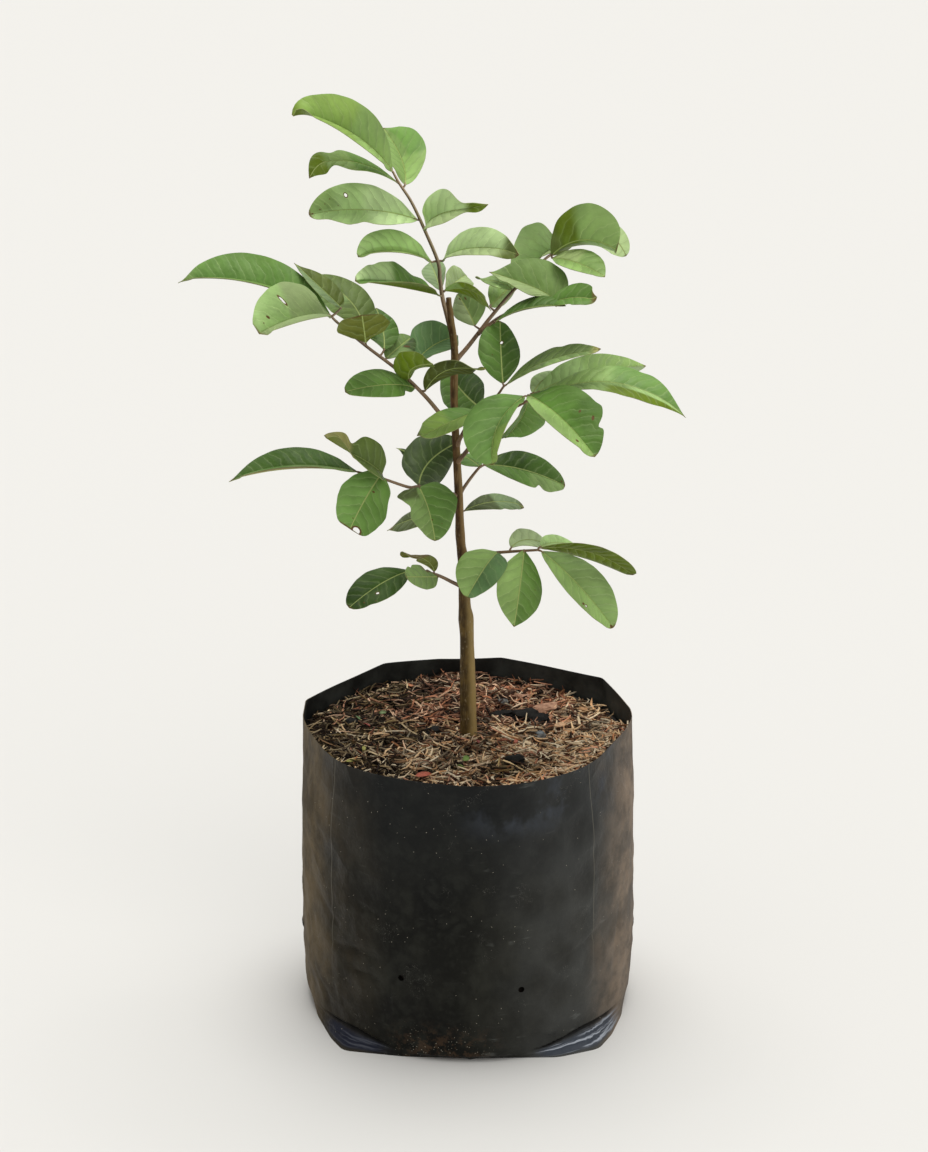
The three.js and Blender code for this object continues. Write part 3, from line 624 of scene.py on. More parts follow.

# What sets single leaflets apart, by frond and leaflet number. Along the midrib t runs from 0 to
# 1, and across the blade s runs from -1 to 1.
# tail: the tip's last part (from t) moves [across, down, forward] in mm and turns by degrees.
# dents: (t, s, depth, width) bites into the margin, or lobes where the depth is negative.
# curl: (side, degrees, from) rolls a margin. skew, blunt and tip set where the blade is widest
# and how full it is at its base and its end.
# zones: (tone, t from, t to, s from, s to) where the blade shows another colour.
# marks: (kind, t, s, radius in mm), and the stretch and angle in degrees of those not round.
# Zones that give a blade's two halves different tones partly hold painted light and shade: a shaded
# half gets a darker tone and a lit half a paler one.
TRAITS = {
    ("frond_top", 0): {
        "tail": ([1, 4, 0], 0.86, 60), "tip": 0.0,
        "zones": [("bright", 0.5, 1.2, *INNER), ("olive", 0.93, 1.2, *INNER)]},
    ("frond_top", 1): {"zones": [("fresh", -0.2, 0.5, *RIGHT), ("mid", 0.45, 1.2, 0.3, 1.2)]},
    ("frond_top", 2): {
        "tail": ([4, 10, 0], 0.78, -30), "tip": 0.4,
        "dents": [(0.70, 1, 0.35, 0.09), (0.70, -1, 0.6, 0.1), (0.90, -1, -0.2, 0.06)],
        "zones": [("calm", 0.5, 1.2, *INNER), ("olive", 0.78, 1.2, *INNER)]},
    ("frond_top", 3): {
        "marks": [("hole", 0.66, 0.55, 1.5, 1.3, 20), ("spot", 0.80, 0.55, 1.0),
                  ("spot", 0.85, 0.40, 0.9), ("spot", 0.74, 0.20, 0.8),
                  ("spot", 0.90, 0.20, 1.2), ("spot", 0.97, 0, 2.0)],
        "dents": [(0.58, -1, 0.16, 0.06), (0.74, -1, -0.12, 0.05), (0.88, -1, 0.2, 0.05)],
        "zones": [("light", -0.2, 0.5, *BOTH), ("fresh", 0.75, 1.2, 0.1, 1.2)], "tip": 0.15},
    ("frond_top", 4): {
        "tail": ([9, -3, 6], 0.72, 80), "dents": [(0.84, 1, 0.7, 0.1), (0.84, -1, 0.6, 0.1)],
        "zones": [("sage", *ALL, *RIGHT), ("olive", 0.84, 1.2, *INNER)]},
    ("frond_top", 5): {
        "tail": ([4, 4, 4], 0.82, 60), "tip": 0.2,
        "zones": [("sage", *ALL, *RIGHT), ("moss", 0.88, 1.2, *BOTH)]},
    ("frond_top", 6): {
        "tip": 0.2, "curl": (-1, 20, 0.7), "zones": [("lime", *ALL, 0.2, 1.2)]},
    ("frond_top", 7): {
        "zones": [("olive", -0.2, 0.62, -1.2, -0.05), ("light", 0.55, 1.2, 0.2, 1.2)],
        "tip": 0.15,
        "dents": [(0.30, 1, 0.18, 0.07), (0.52, 1, -0.1, 0.06), (0.76, 1, 0.1, 0.06)]},
    ("frond_top", 10): {
        "zones": [("olive", 0.38, 1.2, -1.2, 0.1), ("olive", *ALL, *RIGHT)],
        "tail": ([2, 5, 0], 0.8, 20)},
    ("frond_upper_left", 0): {
        "tail": ([-2, 3, 0], 0.9, 40), "zones": [("moss", 0.94, 1.2, *INNER)],
        "curl": (-1, 25, 0.7), "dents": [(0.62, -1, 0.12, 0.08)]},
    ("frond_upper_left", 1): {
        "marks": [("hole", 0.60, 0.55, 1.1, 4.6, 24), ("burn", 0.83, 0.35, 1.2, 2.2, 30),
                  ("spot", 0.90, 0.30, 1.0), ("spot", 0.70, 0.70, 0.7)],
        "tip": 0.0, "zones": [("lime", 0.55, 1.2, *RIGHT)]},
    ("frond_upper_left", 2): {
        "zones": [("moss", 0.1, 1.1, *RIGHT), ("ash", 0.0, 1.1, -1.2, -0.08)], "tip": 0.9},
    ("frond_upper_left", 3): {"zones": [("calm", 0.5, 1.2, *LEFT)], "tip": 0.1},
    ("frond_upper_left", 4): {"skew": 1.9, "tip": -0.25},
    ("frond_upper_left", 6): {
        "marks": [("burn", 0.62, 0.45, 2.4, 1.5, 20)], "tip": 0.2,
        "zones": [("shade", 0.55, 1.2, 0.2, 1.2)]},
    ("frond_upper_left", 9): {"tail": ([6, -2, 0], 0.78, 70)},
    ("frond_upper_left", 10): {
        "dents": [(0.25, -1, 0.35, 0.06)], "tip": 0.1,
        "marks": [("spot", 0.4, 0.5, 0.8)]},
    ("frond_upper_right", 0): {
        "marks": [("burn", 0.84, -0.05, 0.8, 2.2, 90), ("burn", 0.76, 0.25, 0.8, 2.6, 90)],
        "zones": [("calm", *ALL, *RIGHT)]},
    ("frond_upper_right", 2): {
        "tail": ([2, -3, 0], 0.7, 30), "zones": [("calm", 0.45, 1.2, *BOTH)]},
    ("frond_upper_right", 3): {
        "dents": [(0.35, 1, 0.1, 0.05), (0.6, 1, -0.08, 0.05)], "curl": (1, 25, 0.65)},
    ("frond_upper_right", 4): {
        "tail": ([0, -4, 0], 0.8, 30), "zones": [("brown", 0.9, 1.2, *BOTH)],
        "dents": [(0.55, 1, 0.12, 0.06)]},
    ("frond_upper_right", 5): {"zones": [("sage", *ALL, -1.2, 0.03)], "tip": 0.9},
    ("frond_upper_right", 6): {"tip": 0.1, "zones": [("sage", -0.2, 0.5, *LEFT)]},
    ("frond_upper_right", 7): {
        "zones": [("olive", -0.2, 0.45, *BOTH), ("moss", -0.2, 0.2, *BOTH)],
        "tip": 0.1, "skew": 1.35},
    ("frond_upper_right", 8): {"zones": [("fresh", *ALL, *RIGHT), ("fresh", 0.5, 1.2, *LEFT)]},
    ("frond_upper_right", 9): {"tip": 0.1},
    ("frond_centre", 0): {"zones": [("night", *ALL, *RIGHT)]},
    ("frond_centre", 1): {
        "tail": ([-3, -2, 0], 0.86, 40), "tip": -0.2, "dents": [(0.90, -1, 0.2, 0.05)],
        "zones": [("mid", -0.2, 0.5, *RIGHT), ("brown", 0.97, 1.2, *INNER)]},
    ("frond_centre", 2): {
        "marks": [("hole", 0.69, 0.05, 1.2, 1.4, 40), ("spot", 0.5, -0.4, 0.8)],
        "zones": [("deep", -0.1, 1.2, *LEFT)], "tip": 0.1},
    ("frond_centre", 3): {
        "tail": ([2, -2, 0], 0.85, 30),
        "zones": [("calm", 0.5, 1.2, *RIGHT), ("straw", 0.93, 1.2, *BOTH)],
        "dents": [(0.35, 1, 0.14, 0.06), (0.62, -1, 0.12, 0.05)], "curl": (-1, 20, 0.6)},
    ("frond_right", 0): {"zones": [("bright", 0.55, 1.2, *LEFT)], "tip": 0.2},
    ("frond_right", 1): {"zones": [("deep", *ALL, *RIGHT)]},
    ("frond_right", 2): {
        "marks": [("spot", 0.58, -0.50, 1.6, 1.5, 20), ("burn", 0.71, -0.65, 1.7, 1.4, 60),
                  ("burn", 0.83, 0.60, 2.0, 1.2, 0), ("spot", 0.45, 0.40, 0.8)],
        "zones": [("fresh", 0.0, 1.2, 0.06, 1.2), ("deep", 0.5, 1.2, -1.2, -0.2)],
        "dents": [(0.80, -1, 0.24, 0.035), (0.68, -1, -0.08, 0.05)], "tip": 0.3},
    ("frond_right", 4): {
        "zones": [("fresh", 0.5, 1.2, *LEFT), ("ash", 0.5, 1.2, *RIGHT)],
        "dents": [(0.8, 1, 0.2, 0.05)]},
    ("frond_right", 5): {
        "tail": ([2, 4, 0], 0.86, 30), "tip": 1.1,
        "zones": [("mid", 0.45, 1.2, *LEFT), ("fresh", -0.2, 0.45, *LEFT),
                  ("calm", -0.2, 0.6, *RIGHT), ("olive", 0.44, 1.2, 0.45, 1.3)],
        "dents": [(0.36, 1, 0.10, 0.05), (0.58, 1, -0.06, 0.05), (0.66, -1, 0.1, 0.05)]},
    ("frond_small_right", 0): {
        "dents": [(0.67, 1, 0.28, 0.035), (0.80, 1, -0.10, 0.06)], "tip": 0.1,
        "marks": [("spot", 0.95, -0.3, 1.6)],
        "zones": [("night", -0.2, 0.5, *LEFT), ("leafy", *ALL, 0.1, 1.2),
                  ("calm", 0.55, 1.2, 0.1, 1.2)]},
    ("frond_left", 0): {
        "blunt": -0.45, "skew": 0.72, "tip": 0.2,
        "dents": [(0.10, 1, -0.35, 0.09), (0.42, 1, 0.26, 0.14), (0.42, -1, -0.12, 0.2)],
        "marks": [("spot", 0.65, -0.05, 1.2), ("spot", 0.75, -0.5, 0.7)],
        "zones": [("calm", *ALL, *RIGHT), ("dusk", -0.2, 0.22, 0.2, 2.2)]},
    ("frond_left", 2): {"tail": ([-10, 2, 0], 0.6, 40), "tip": 1.2},
    ("frond_left", 3): {
        "tail": ([2, -2, 0], 0.66, 70), "tip": -0.1, "skew": 1.0,
        "dents": [(0.73, 1, 0.55, 0.07), (0.71, -1, 0.45, 0.07)],
        "zones": [("straw", 0.72, 1.2, *BOTH), ("dusk", -0.2, 0.3, *LEFT)]},
    ("frond_left", 4): {
        "blunt": -0.36, "skew": 1.15, "tip": -0.2, "dents": [(0.10, -1, -0.22, 0.10)],
        "marks": [("burn", 0.30, -0.15, 1.2, 1.4, 0), ("spot", 0.83, 0.10, 1.2),
                  ("hole", 0.97, -0.40, 3.2, 1.2, 0)],
        "zones": [("mid", *ALL, *RIGHT)]},
    ("frond_left", 5): {
        "tail": ([-7, 4, 0], 0.93, 20), "tip": 0.25,
        "zones": [("dark", *ALL, *RIGHT), ("leafy", 0.5, 1.2, *LEFT),
                  ("brown", 0.25, 0.95, -1.4, -0.78), ("straw", 0.35, 0.8, -1.4, -0.94)]},
    ("frond_back", 0): {
        "tail": ([0, 2, 0], 0.8, 30), "dents": [(0.6, 1, 0.12, 0.05)],
        "zones": [("ash", 0.5, 1.2, *BOTH), ("brown", 0.93, 1.2, *INNER)]},
    ("frond_back", 1): {"tail": ([-2, 2, 0], 0.8, 40), "zones": [("brown", 0.9, 1.2, *INNER)]},
    ("frond_low_right", 0): {"tip": 0.2, "zones": [("fresh", -0.1, 1.2, *RIGHT)]},
    ("frond_low_right", 1): {
        "marks": [("spot", 0.52, -0.65, 0.9), ("spot", 0.62, -0.5, 0.6)],
        "tip": 0.5, "zones": [("fresh", *ALL, *RIGHT)]},
    ("frond_low_right", 2): {
        "marks": [("hole", 0.71, 0.75, 0.9, 1.6, 30), ("burn", 0.68, 0.78, 1.6, 1.2, 30),
                  ("burn", 0.98, 0.2, 2.2)], "tip": 0.15,
        "zones": [("fresh", *ALL, *RIGHT)]},
    ("frond_low_right", 3): {"tip": -0.05},
    ("frond_low_right", 4): {"tip": 0.1},
    ("frond_low_left", 0): {
        "dents": [(0.75, 1, 0.35, 0.07), (0.62, -1, 0.4, 0.06)], "tail": ([-2, 1, 0], 0.7, 40),
        "zones": [("brown", 0.55, 1.2, *BOTH)], "tip": 0.05},
    ("frond_low_left", 1): {
        "dents": [(0.30, 1, 0.3, 0.06), (0.7, 1, 0.2, 0.05)], "tip": 0.1,
        "zones": [("brown", 0.0, 0.4, 0.6, 1.3)]},
    ("frond_low_left", 2): {
        "marks": [("hole", 0.65, -0.45, 1.6), ("spot", 0.75, -0.85, 1.0),
                  ("spot", 0.85, -0.6, 1.2, 1.5, 0), ("spot", 0.9, -0.4, 0.9)],
        "tip": 0.1, "dents": [(0.82, -1, 0.1, 0.05)]},
}


# How the blade is scorched round each kind of mark: how strongly, and where that ends and where
# it is full, as shares of the mark's radius.
SCORCHES = {"hole": (1.0, 1.75, 1.15), "burn": (0.95, 1.3, 0.5), "spot": (0.75, 1.2, 0.3)}
# The mesh is finer up to this many radii from a mark's centre.
MARK_MESH_REACH = 2.6


def bite(t, dents, side):
    """How much of the blade's width is kept at t on one side of the midrib."""
    kept = 1
    for place, edge, depth, width in dents:
        if edge * side > 0:
            kept -= depth * math.exp(-((t - place) / width) ** 2)
    return kept


class Leaflet:
    """The curved middle surface of one leaflet."""

    def __init__(self, frond, number):
        entry = FRONDS[frond]["leaflets"][number]
        self.tone, base, middle, tip, half, *lifts = entry
        traits = TRAITS.get((frond, number), {})
        self.base, self.middle, self.tip = sheet(base), sheet(middle), sheet(tip)
        self.control = self.middle * 2 - (self.base + self.tip) / 2
        self.half = half * MM
        self.left, self.right, self.twist = lifts
        self.phase = number * 1.7 + len(frond) * 0.9
        self.chord = (self.tip - self.base).normalized()
        self.length = (self.tip - self.base).length * 1.04
        self.to_viewer = (EYE - self.middle).normalized()
        move, self.tail_from, self.tail_turn = traits.get("tail", ([0, 0, 0], 0.8, 0))
        self.tail = (Vector((move[0], 0, 0)) - VIEW_UP * move[1] - VIEW_AXIS * move[2]) * MM
        self.dents = traits.get("dents", [])
        self.curl = traits.get("curl", (0, 0, 1))
        self.skew = traits.get("skew", 1.2)
        self.fullness = traits.get("tip", 0.45)
        self.blunt = traits.get("blunt", 0)
        self.zones = traits.get("zones", [])
        self.marks = traits.get("marks", [])

    def outline(self, t):
        """Half width as a share of the widest half: a blunt base, an oval body, a short tip."""
        power = 0.72 - 0.3 * t + self.fullness * t ** 4 + self.blunt * (1 - t) ** 4
        return max(0, math.sin(math.pi * t ** self.skew)) ** power

    def shade(self, t, s):
        """The blade's colour before its veins and mottling."""
        shade = Vector(colour(*TONES[self.tone]))
        for name, t_from, t_to, s_from, s_to in self.zones:
            share = smooth(t_from - 0.03, t_from + 0.05, t) * smooth(t_to + 0.08, t_to - 0.05, t)
            share *= smooth(s_from - 0.06, s_from + 0.06, s) * smooth(s_to + 0.06, s_to - 0.06, s)
            shade = shade.lerp(Vector(colour(*TONES[name])), share)
        return shade

    def tail_share(self, t):
        return max(0, (t - self.tail_from) / (1 - self.tail_from)) ** 2

    def rib(self, t):
        line = self.base * (1 - t) ** 2 + self.control * 2 * t * (1 - t) + self.tip * t * t
        return line + self.tail * self.tail_share(t)

    def frame(self, t):
        """The directions across the blade and out of its face."""
        tangent = (self.rib(min(1, t + 0.02)) - self.rib(max(0, t - 0.02))).normalized()
        right = (tangent + self.chord * 0.8).cross(self.to_viewer).normalized()
        face = right.cross(tangent).normalized()
        return tangent.cross(face), face

    def flat(self, t, s):
        """The point's true distances in metres across and along the blade."""
        return s * self.half * self.outline(t), t * self.length

    def point(self, t, s):
        right, face = self.frame(t)
        reach = abs(s)
        side = 1 if s < 0 else -1
        outline = self.outline(t)
        uneven = 0.025 * noise.noise(Vector((t * 9, side, self.phase)))
        width = self.half * outline * (bite(t, self.dents, s) + uneven)
        roll = (self.left - self.right) / 2 + self.twist * t ** 3
        roll += self.tail_turn * self.tail_share(t)
        fold = (self.left + self.right) / 2 + CUPPING - CUPPING * reach
        fold *= min(1, 2 * outline)
        angle = math.radians(side * roll + fold)
        curl_side, curl, curl_from = self.curl
        inner = min(reach, curl_from) if curl_side * s > 0 else reach
        turned = angle + math.radians(curl)
        out = inner * math.cos(angle) + (reach - inner) * math.cos(turned)
        rise = math.sqrt(inner ** 2 + 0.004) - 0.06
        rise = rise * math.sin(angle) + (reach - inner) * math.sin(turned)
        wave = reach ** 2 * math.sin(14 * t + self.phase + (2 if s < 0 else 0))
        swell = noise.noise(Vector((t * 3.4, s * 1.4, self.phase)))
        rise = width * rise + self.half * outline * (0.055 * wave + 0.10 * swell * reach)
        return self.rib(t) + right * width * out * (1 if s > 0 else -1) + face * rise


def refine(part, leaflet):
    """Gives the blade a finer mesh round its marks and cuts its holes. The mesh is still flat,
    with s and 2 t - 1 as its places."""
    for kind, t, s, radius, *shape in leaflet.marks:
        centre = leaflet.flat(t, s)
        stretch, angle = shape or (1, 0)
        turn = math.radians(angle)

        def far(vert):
            x, y = leaflet.flat((vert.co.y + 1) / 2, vert.co.x)
            along, across = spin(x - centre[0], y - centre[1], -turn)
            return math.hypot(along / stretch, across) / (radius * MM)

        near = [e for e in part.edges if min(far(v) for v in e.verts) < MARK_MESH_REACH]
        bmesh.ops.subdivide_edges(part, edges=near, cuts=3, use_grid_fill=True)
        if kind == "hole":
            inside = [f for f in part.faces if sum(far(v) for v in f.verts) / len(f.verts) < 1]
            bmesh.ops.delete(part, geom=inside, context="FACES")
        burn = part.verts.layers.float["Burn"]
        strength, reach, full = SCORCHES[kind]
        for vert in part.verts:
            vert[burn] = max(vert[burn], strength * smooth(reach, full, far(vert)))


def add_blade(bm, leaflet):
    """Adds one leaflet's middle surface to a mesh, with its maps of true distances."""
    part = bmesh.new()
    spread = part.loops.layers.uv.new("Spread")
    tint = part.verts.layers.float_color.new("Tint")
    burn = part.verts.layers.float.new("Burn")
    bmesh.ops.create_grid(part, x_segments=LEAF_COLUMNS, y_segments=LEAF_ROWS, size=1)
    refine(part, leaflet)
    places = {}
    for vert in part.verts:
        s, t = vert.co.x, (vert.co.y + 1) / 2
        places[vert] = (s, t)
        vert[tint] = leaflet.shade(t, s)
        vert[burn] = max(vert[burn], 0.7 * smooth(0.955, 1, t))
    for face in part.faces:
        for loop in face.loops:
            s, t = places[loop.vert]
            across, along = leaflet.flat(t, s)
            loop[spread].uv = (across / SPREAD_UNIT, along / SPREAD_UNIT)
    for vert, (s, t) in places.items():
        vert.co = leaflet.point(t, s)
    bmesh.ops.remove_doubles(part, verts=part.verts, dist=1e-6)
    part.normal_update()
    join(bm, part)


def nearest(lines, place):
    """The point of some lines that is nearest to a place."""
    return min((point for line in lines for point in line), key=lambda p: (p - place).length)


def make_frond(name, materials):
    """The two pieces of a frond: its leaflets, and its stalks with the leaflets' own stalks."""
    plan = FRONDS[name]
    leaves = bmesh.new()
    stalks = bmesh.new()
    lines = []
    for points, root, end in plan["stalks"]:
        line = smooth_line([sheet(p) for p in points], 60)
        lines.append(line)

        def radius_at(t, angle, root=root, end=end):
            swell = 0.5 * math.exp(-(t / 0.05) ** 2)
            return (mix(root, end, t) + swell) * MM

        join(stalks, tube(line, radius_at, 12))
    for number in range(len(plan["leaflets"])):
        leaflet = Leaflet(name, number)
        add_blade(leaves, leaflet)
        root = nearest(lines, leaflet.base)
        end = leaflet.rib(0.04)
        bend = (root + leaflet.base) / 2 + leaflet.frame(0)[1] * -0.8 * MM
        line = smooth_line([root, bend, leaflet.base, end], 14)
        join(stalks, tube(line, lambda t, angle: mix(1.25, 0.75, t) * MM, 8))
    store_side(stalks)
    blades = to_object(leaves, name + "_leaflets", materials[:3])
    thicken(blades, LEAF_THICKNESS, offset=0, inner=1, rim=2)
    apply_modifiers(blades)
    blades.data.set_sharp_from_angle(angle=math.radians(50))
    place_piece(blades, "leaf", name)
    rods = to_object(stalks, name + "_stalks", materials[3:])
    place_piece(rods, "bark", name)


# Stem -------------------------------------------------------------------------------------------

def make_stem_material():
    start = Material("stem_bark")
    place = start.place()
    height = place.part("Z")
    upper = height.step(0.40, 0.46)
    broad = place.times((1, 1, 0.35)).noise(60, 3)
    fibre = place.times((1, 1, 0.12)).noise(700, 4, 0.6)
    patches = place.times((1, 1, 0.6)).noise(130, 3, 0.6)
    side = start.number_map("Side")
    # Painted light: the side that faces +x, to the right, is paler, on old and young bark alike.
    lit_side = side.step(-0.25, 0.9)
    old = patches.step(0.35, 0.68).between(colour(67, 51, 23), colour(100, 79, 38))
    old = (lit_side * 0.8).between(old, colour(182, 156, 100))
    young = patches.step(0.3, 0.7).between(colour(57, 37, 15), colour(94, 67, 33))
    young = (lit_side * 0.8).between(young, colour(152, 125, 82))
    base = upper.between(old, young)
    base = base.coat((fibre - 0.5).step(0.02, 0.2) * 0.3, 160, 140, 104)
    flecks = 1 - place.times((1, 1, 0.7)).cells(260).step(0.16, 0.3)
    flecks_seen = flecks * broad.step(0.45, 0.6) * (0.5 - upper * 0.35)
    base = base.coat(flecks_seen, 176, 160, 126)
    rough = fibre * 0.25 + 0.5
    relief = fibre * 0.5 * MM + patches * 0.5 * MM + flecks * 0.15 * MM
    return start.finish(base, rough, relief, specular=0.2)


def make_stem():
    points = [sheet(place) for place, radius in STEM]
    radii = [radius for place, radius in STEM]
    line = smooth_line(points, 260)

    def radius_at(t, angle):
        where = t * (len(radii) - 1)
        k = min(int(where), len(radii) - 2)
        radius = mix(radii[k], radii[k + 1], smooth(0, 1, where - k))
        lump = noise.noise(Vector((math.cos(angle) * 0.8, math.sin(angle) * 0.8, t * 28)))
        return (radius + 0.35 * lump) * MM

    bm = tube(line, radius_at, 40)
    store_side(bm)
    stem = to_object(bm, "stem_wood", [make_stem_material()])
    place_piece(stem, "bark", "stem")


# Bag --------------------------------------------------------------------------------------------

def outline_radius(points, angle):
    """Distance from the axis to an outline in millimetres, at an angle."""
    dx, dy = math.cos(angle), math.sin(angle)
    for (ax, ay), (bx, by) in zip(points, points[1:] + points[:1]):
        if dx * ay - dy * ax <= 0 < dx * by - dy * bx:
            crossing = (ax * by - ay * bx) / (dx * (by - ay) - dy * (bx - ax))
            if crossing > 0:
                return crossing * MM
    return BAG_RADIUS


def eased_radius(points, angle, spread):
    """An outline's radius with its corners eased over an angle."""
    return sum(outline_radius(points, angle + spread * k / 3) for k in range(-3, 4)) / 7


def bag_section(angle):
    """What the bag's shape needs at an angle: the radius at the base and at the rim."""
    front = smooth(0.25, -0.25, math.sin(angle))
    return (eased_radius(BASE, angle, math.radians(2)),
            eased_radius(RIM, angle, math.radians(1 + 9 * front)))


def crease_height(angle):
    """Height of the crease over the base's corners, high at the sides and low at the front."""
    return EAR_HEIGHT * mix(1, 0.35, smooth(0.70, 0.97, abs(math.sin(angle))))


def bag_radius(angle, height, section=None):
    """Radius of the bag's outside: a round body over a rounded square base whose corners stand
    out as ears, with the rim's own outline at the top."""
    base, rim = section or bag_section(angle)
    body = BAG_RADIUS - BODY_TAPER * (1 - smooth(0, BODY_STRAIGHT, height))
    crease = crease_height(angle)
    if height < crease:
        tuck = 1.6 * MM * min(1, max(0, base - body) / (6 * MM))
        return mix(base, body - tuck, height / crease)
    return mix(body, rim, smooth(RIM_BLEND_FROM, BAG_HEIGHT, height))


# Wrinkles in the film, each from one (angle in degrees, height) to another, with its depth in mm
# and its half width in metres.
WRINKLES = [
    ((216, 0.101), (239, 0.105), 2.6, 0.0042), ((222, 0.085), (241, 0.078), 2.4, 0.004),
    ((205, 0.150), (222, 0.118), 1.2, 0.005), ((229, 0.157), (240, 0.150), 1.6, 0.004),
    ((310, 0.100), (296, 0.085), 0.9, 0.004), ((326, 0.125), (300, 0.095), 1.8, 0.004),
    ((326, 0.075), (312, 0.052), 1.2, 0.004), ((300, 0.160), (286, 0.156), 0.8, 0.003),
    ((291, 0.030), (302, 0.022), -1.4, 0.004), ((250, 0.215), (268, 0.235), 0.7, 0.006),
    ((204, 0.220), (214, 0.200), 1.0, 0.006), ((328, 0.225), (318, 0.205), 1.0, 0.006),
    ((203, 0.060), (214, 0.030), 1.2, 0.004), ((336, 0.140), (330, 0.050), 1.6, 0.005),
]


def wrinkle_relief(angle, z):
    """How far the wrinkles move the film out, in metres: below 0 where they draw it in."""
    total = 0
    for (a1, z1), (a2, z2), depth, width in WRINKLES:
        along = Vector((math.radians(a2 - a1) * BAG_RADIUS, z2 - z1))
        place = Vector(((angle - math.radians(a1)) * BAG_RADIUS, z - z1))
        share = min(1, max(0, place.dot(along) / along.length_squared))
        off = (place - along * share).length / width
        total -= depth * math.exp(-off * off) * (0.35 + math.sin(math.pi * share))
    return total * MM


def hole_lip(angle, z):
    """How far the film is pushed out round the drain holes in the sides, in metres."""
    total = 0
    for x, y, height in SIDE_HOLES:
        turn = (angle - math.atan2(y, x) + math.pi) % (2 * math.pi) - math.pi
        off = (turn * BAG_RADIUS) ** 2 + (z - height) ** 2
        total += LIP_HEIGHT * math.exp(-off / LIP_SPREAD ** 2)
    return total


def bag_relief(angle, z):
    """How far the film stands out from its plain form, in metres."""
    x, y = math.cos(angle), math.sin(angle)
    around = Vector((x, y, z / BAG_RADIUS))
    lumps = noise.noise(around * 3.2) * 1.4 + noise.noise(around * 7 + Vector((4, 0, 0))) * 0.7
    flank = smooth(0.2, 0.9, abs(x))
    lumps += noise.noise(Vector((x * 16, y * 16, z * 46))) * mix(0.35, 1.1, flank)
    slant = Vector((x * 2, y * 2, z / BAG_RADIUS * 3.4 + 1.6 * angle * (1 if x < 0 else -1)))
    folds = (1 - min(1, 2.4 * abs(noise.noise(slant * 1.6)))) ** 2 * mix(0.4, 1.1, flank)
    low = smooth(0.2, 0.05, z)
    drape = folds * mix(0.25, 0.7, low) + lumps * mix(0.6, 1, low)
    keep = smooth(0.01, 0.035, z) * smooth(BAG_HEIGHT, BAG_HEIGHT - 0.03, z)
    return drape * keep * MM + wrinkle_relief(angle, z) + hole_lip(angle, z)


def ear_relief(angle, z):
    """Small ridges that run along the ears at the base's corners, with a crumpled spot on the
    right one, and the seam's nub in the middle of the front."""
    ratio = z / crease_height(angle)
    corner = abs(math.sin(2 * angle)) ** 3
    pleat = math.sin(ratio * 15 + 1.2 * math.sin(angle * 9)) * 0.7
    crumple = noise.noise(Vector((angle * 26, ratio * 5, 0))) * 1.6
    knot = math.exp(-(((angle - math.radians(316)) / 0.05) ** 2)) * 3.5
    crumple += knot * noise.noise(Vector((angle * 70, ratio * 9, 4)))
    nub = 2.6 * math.exp(-((math.degrees(angle) - 271) / 1.3) ** 2) * smooth(7 * MM, 0, z)
    relief = corner * (pleat + crumple) * smooth(0, 0.3, ratio) * smooth(1.0, 0.75, ratio)
    return (relief + nub) * MM


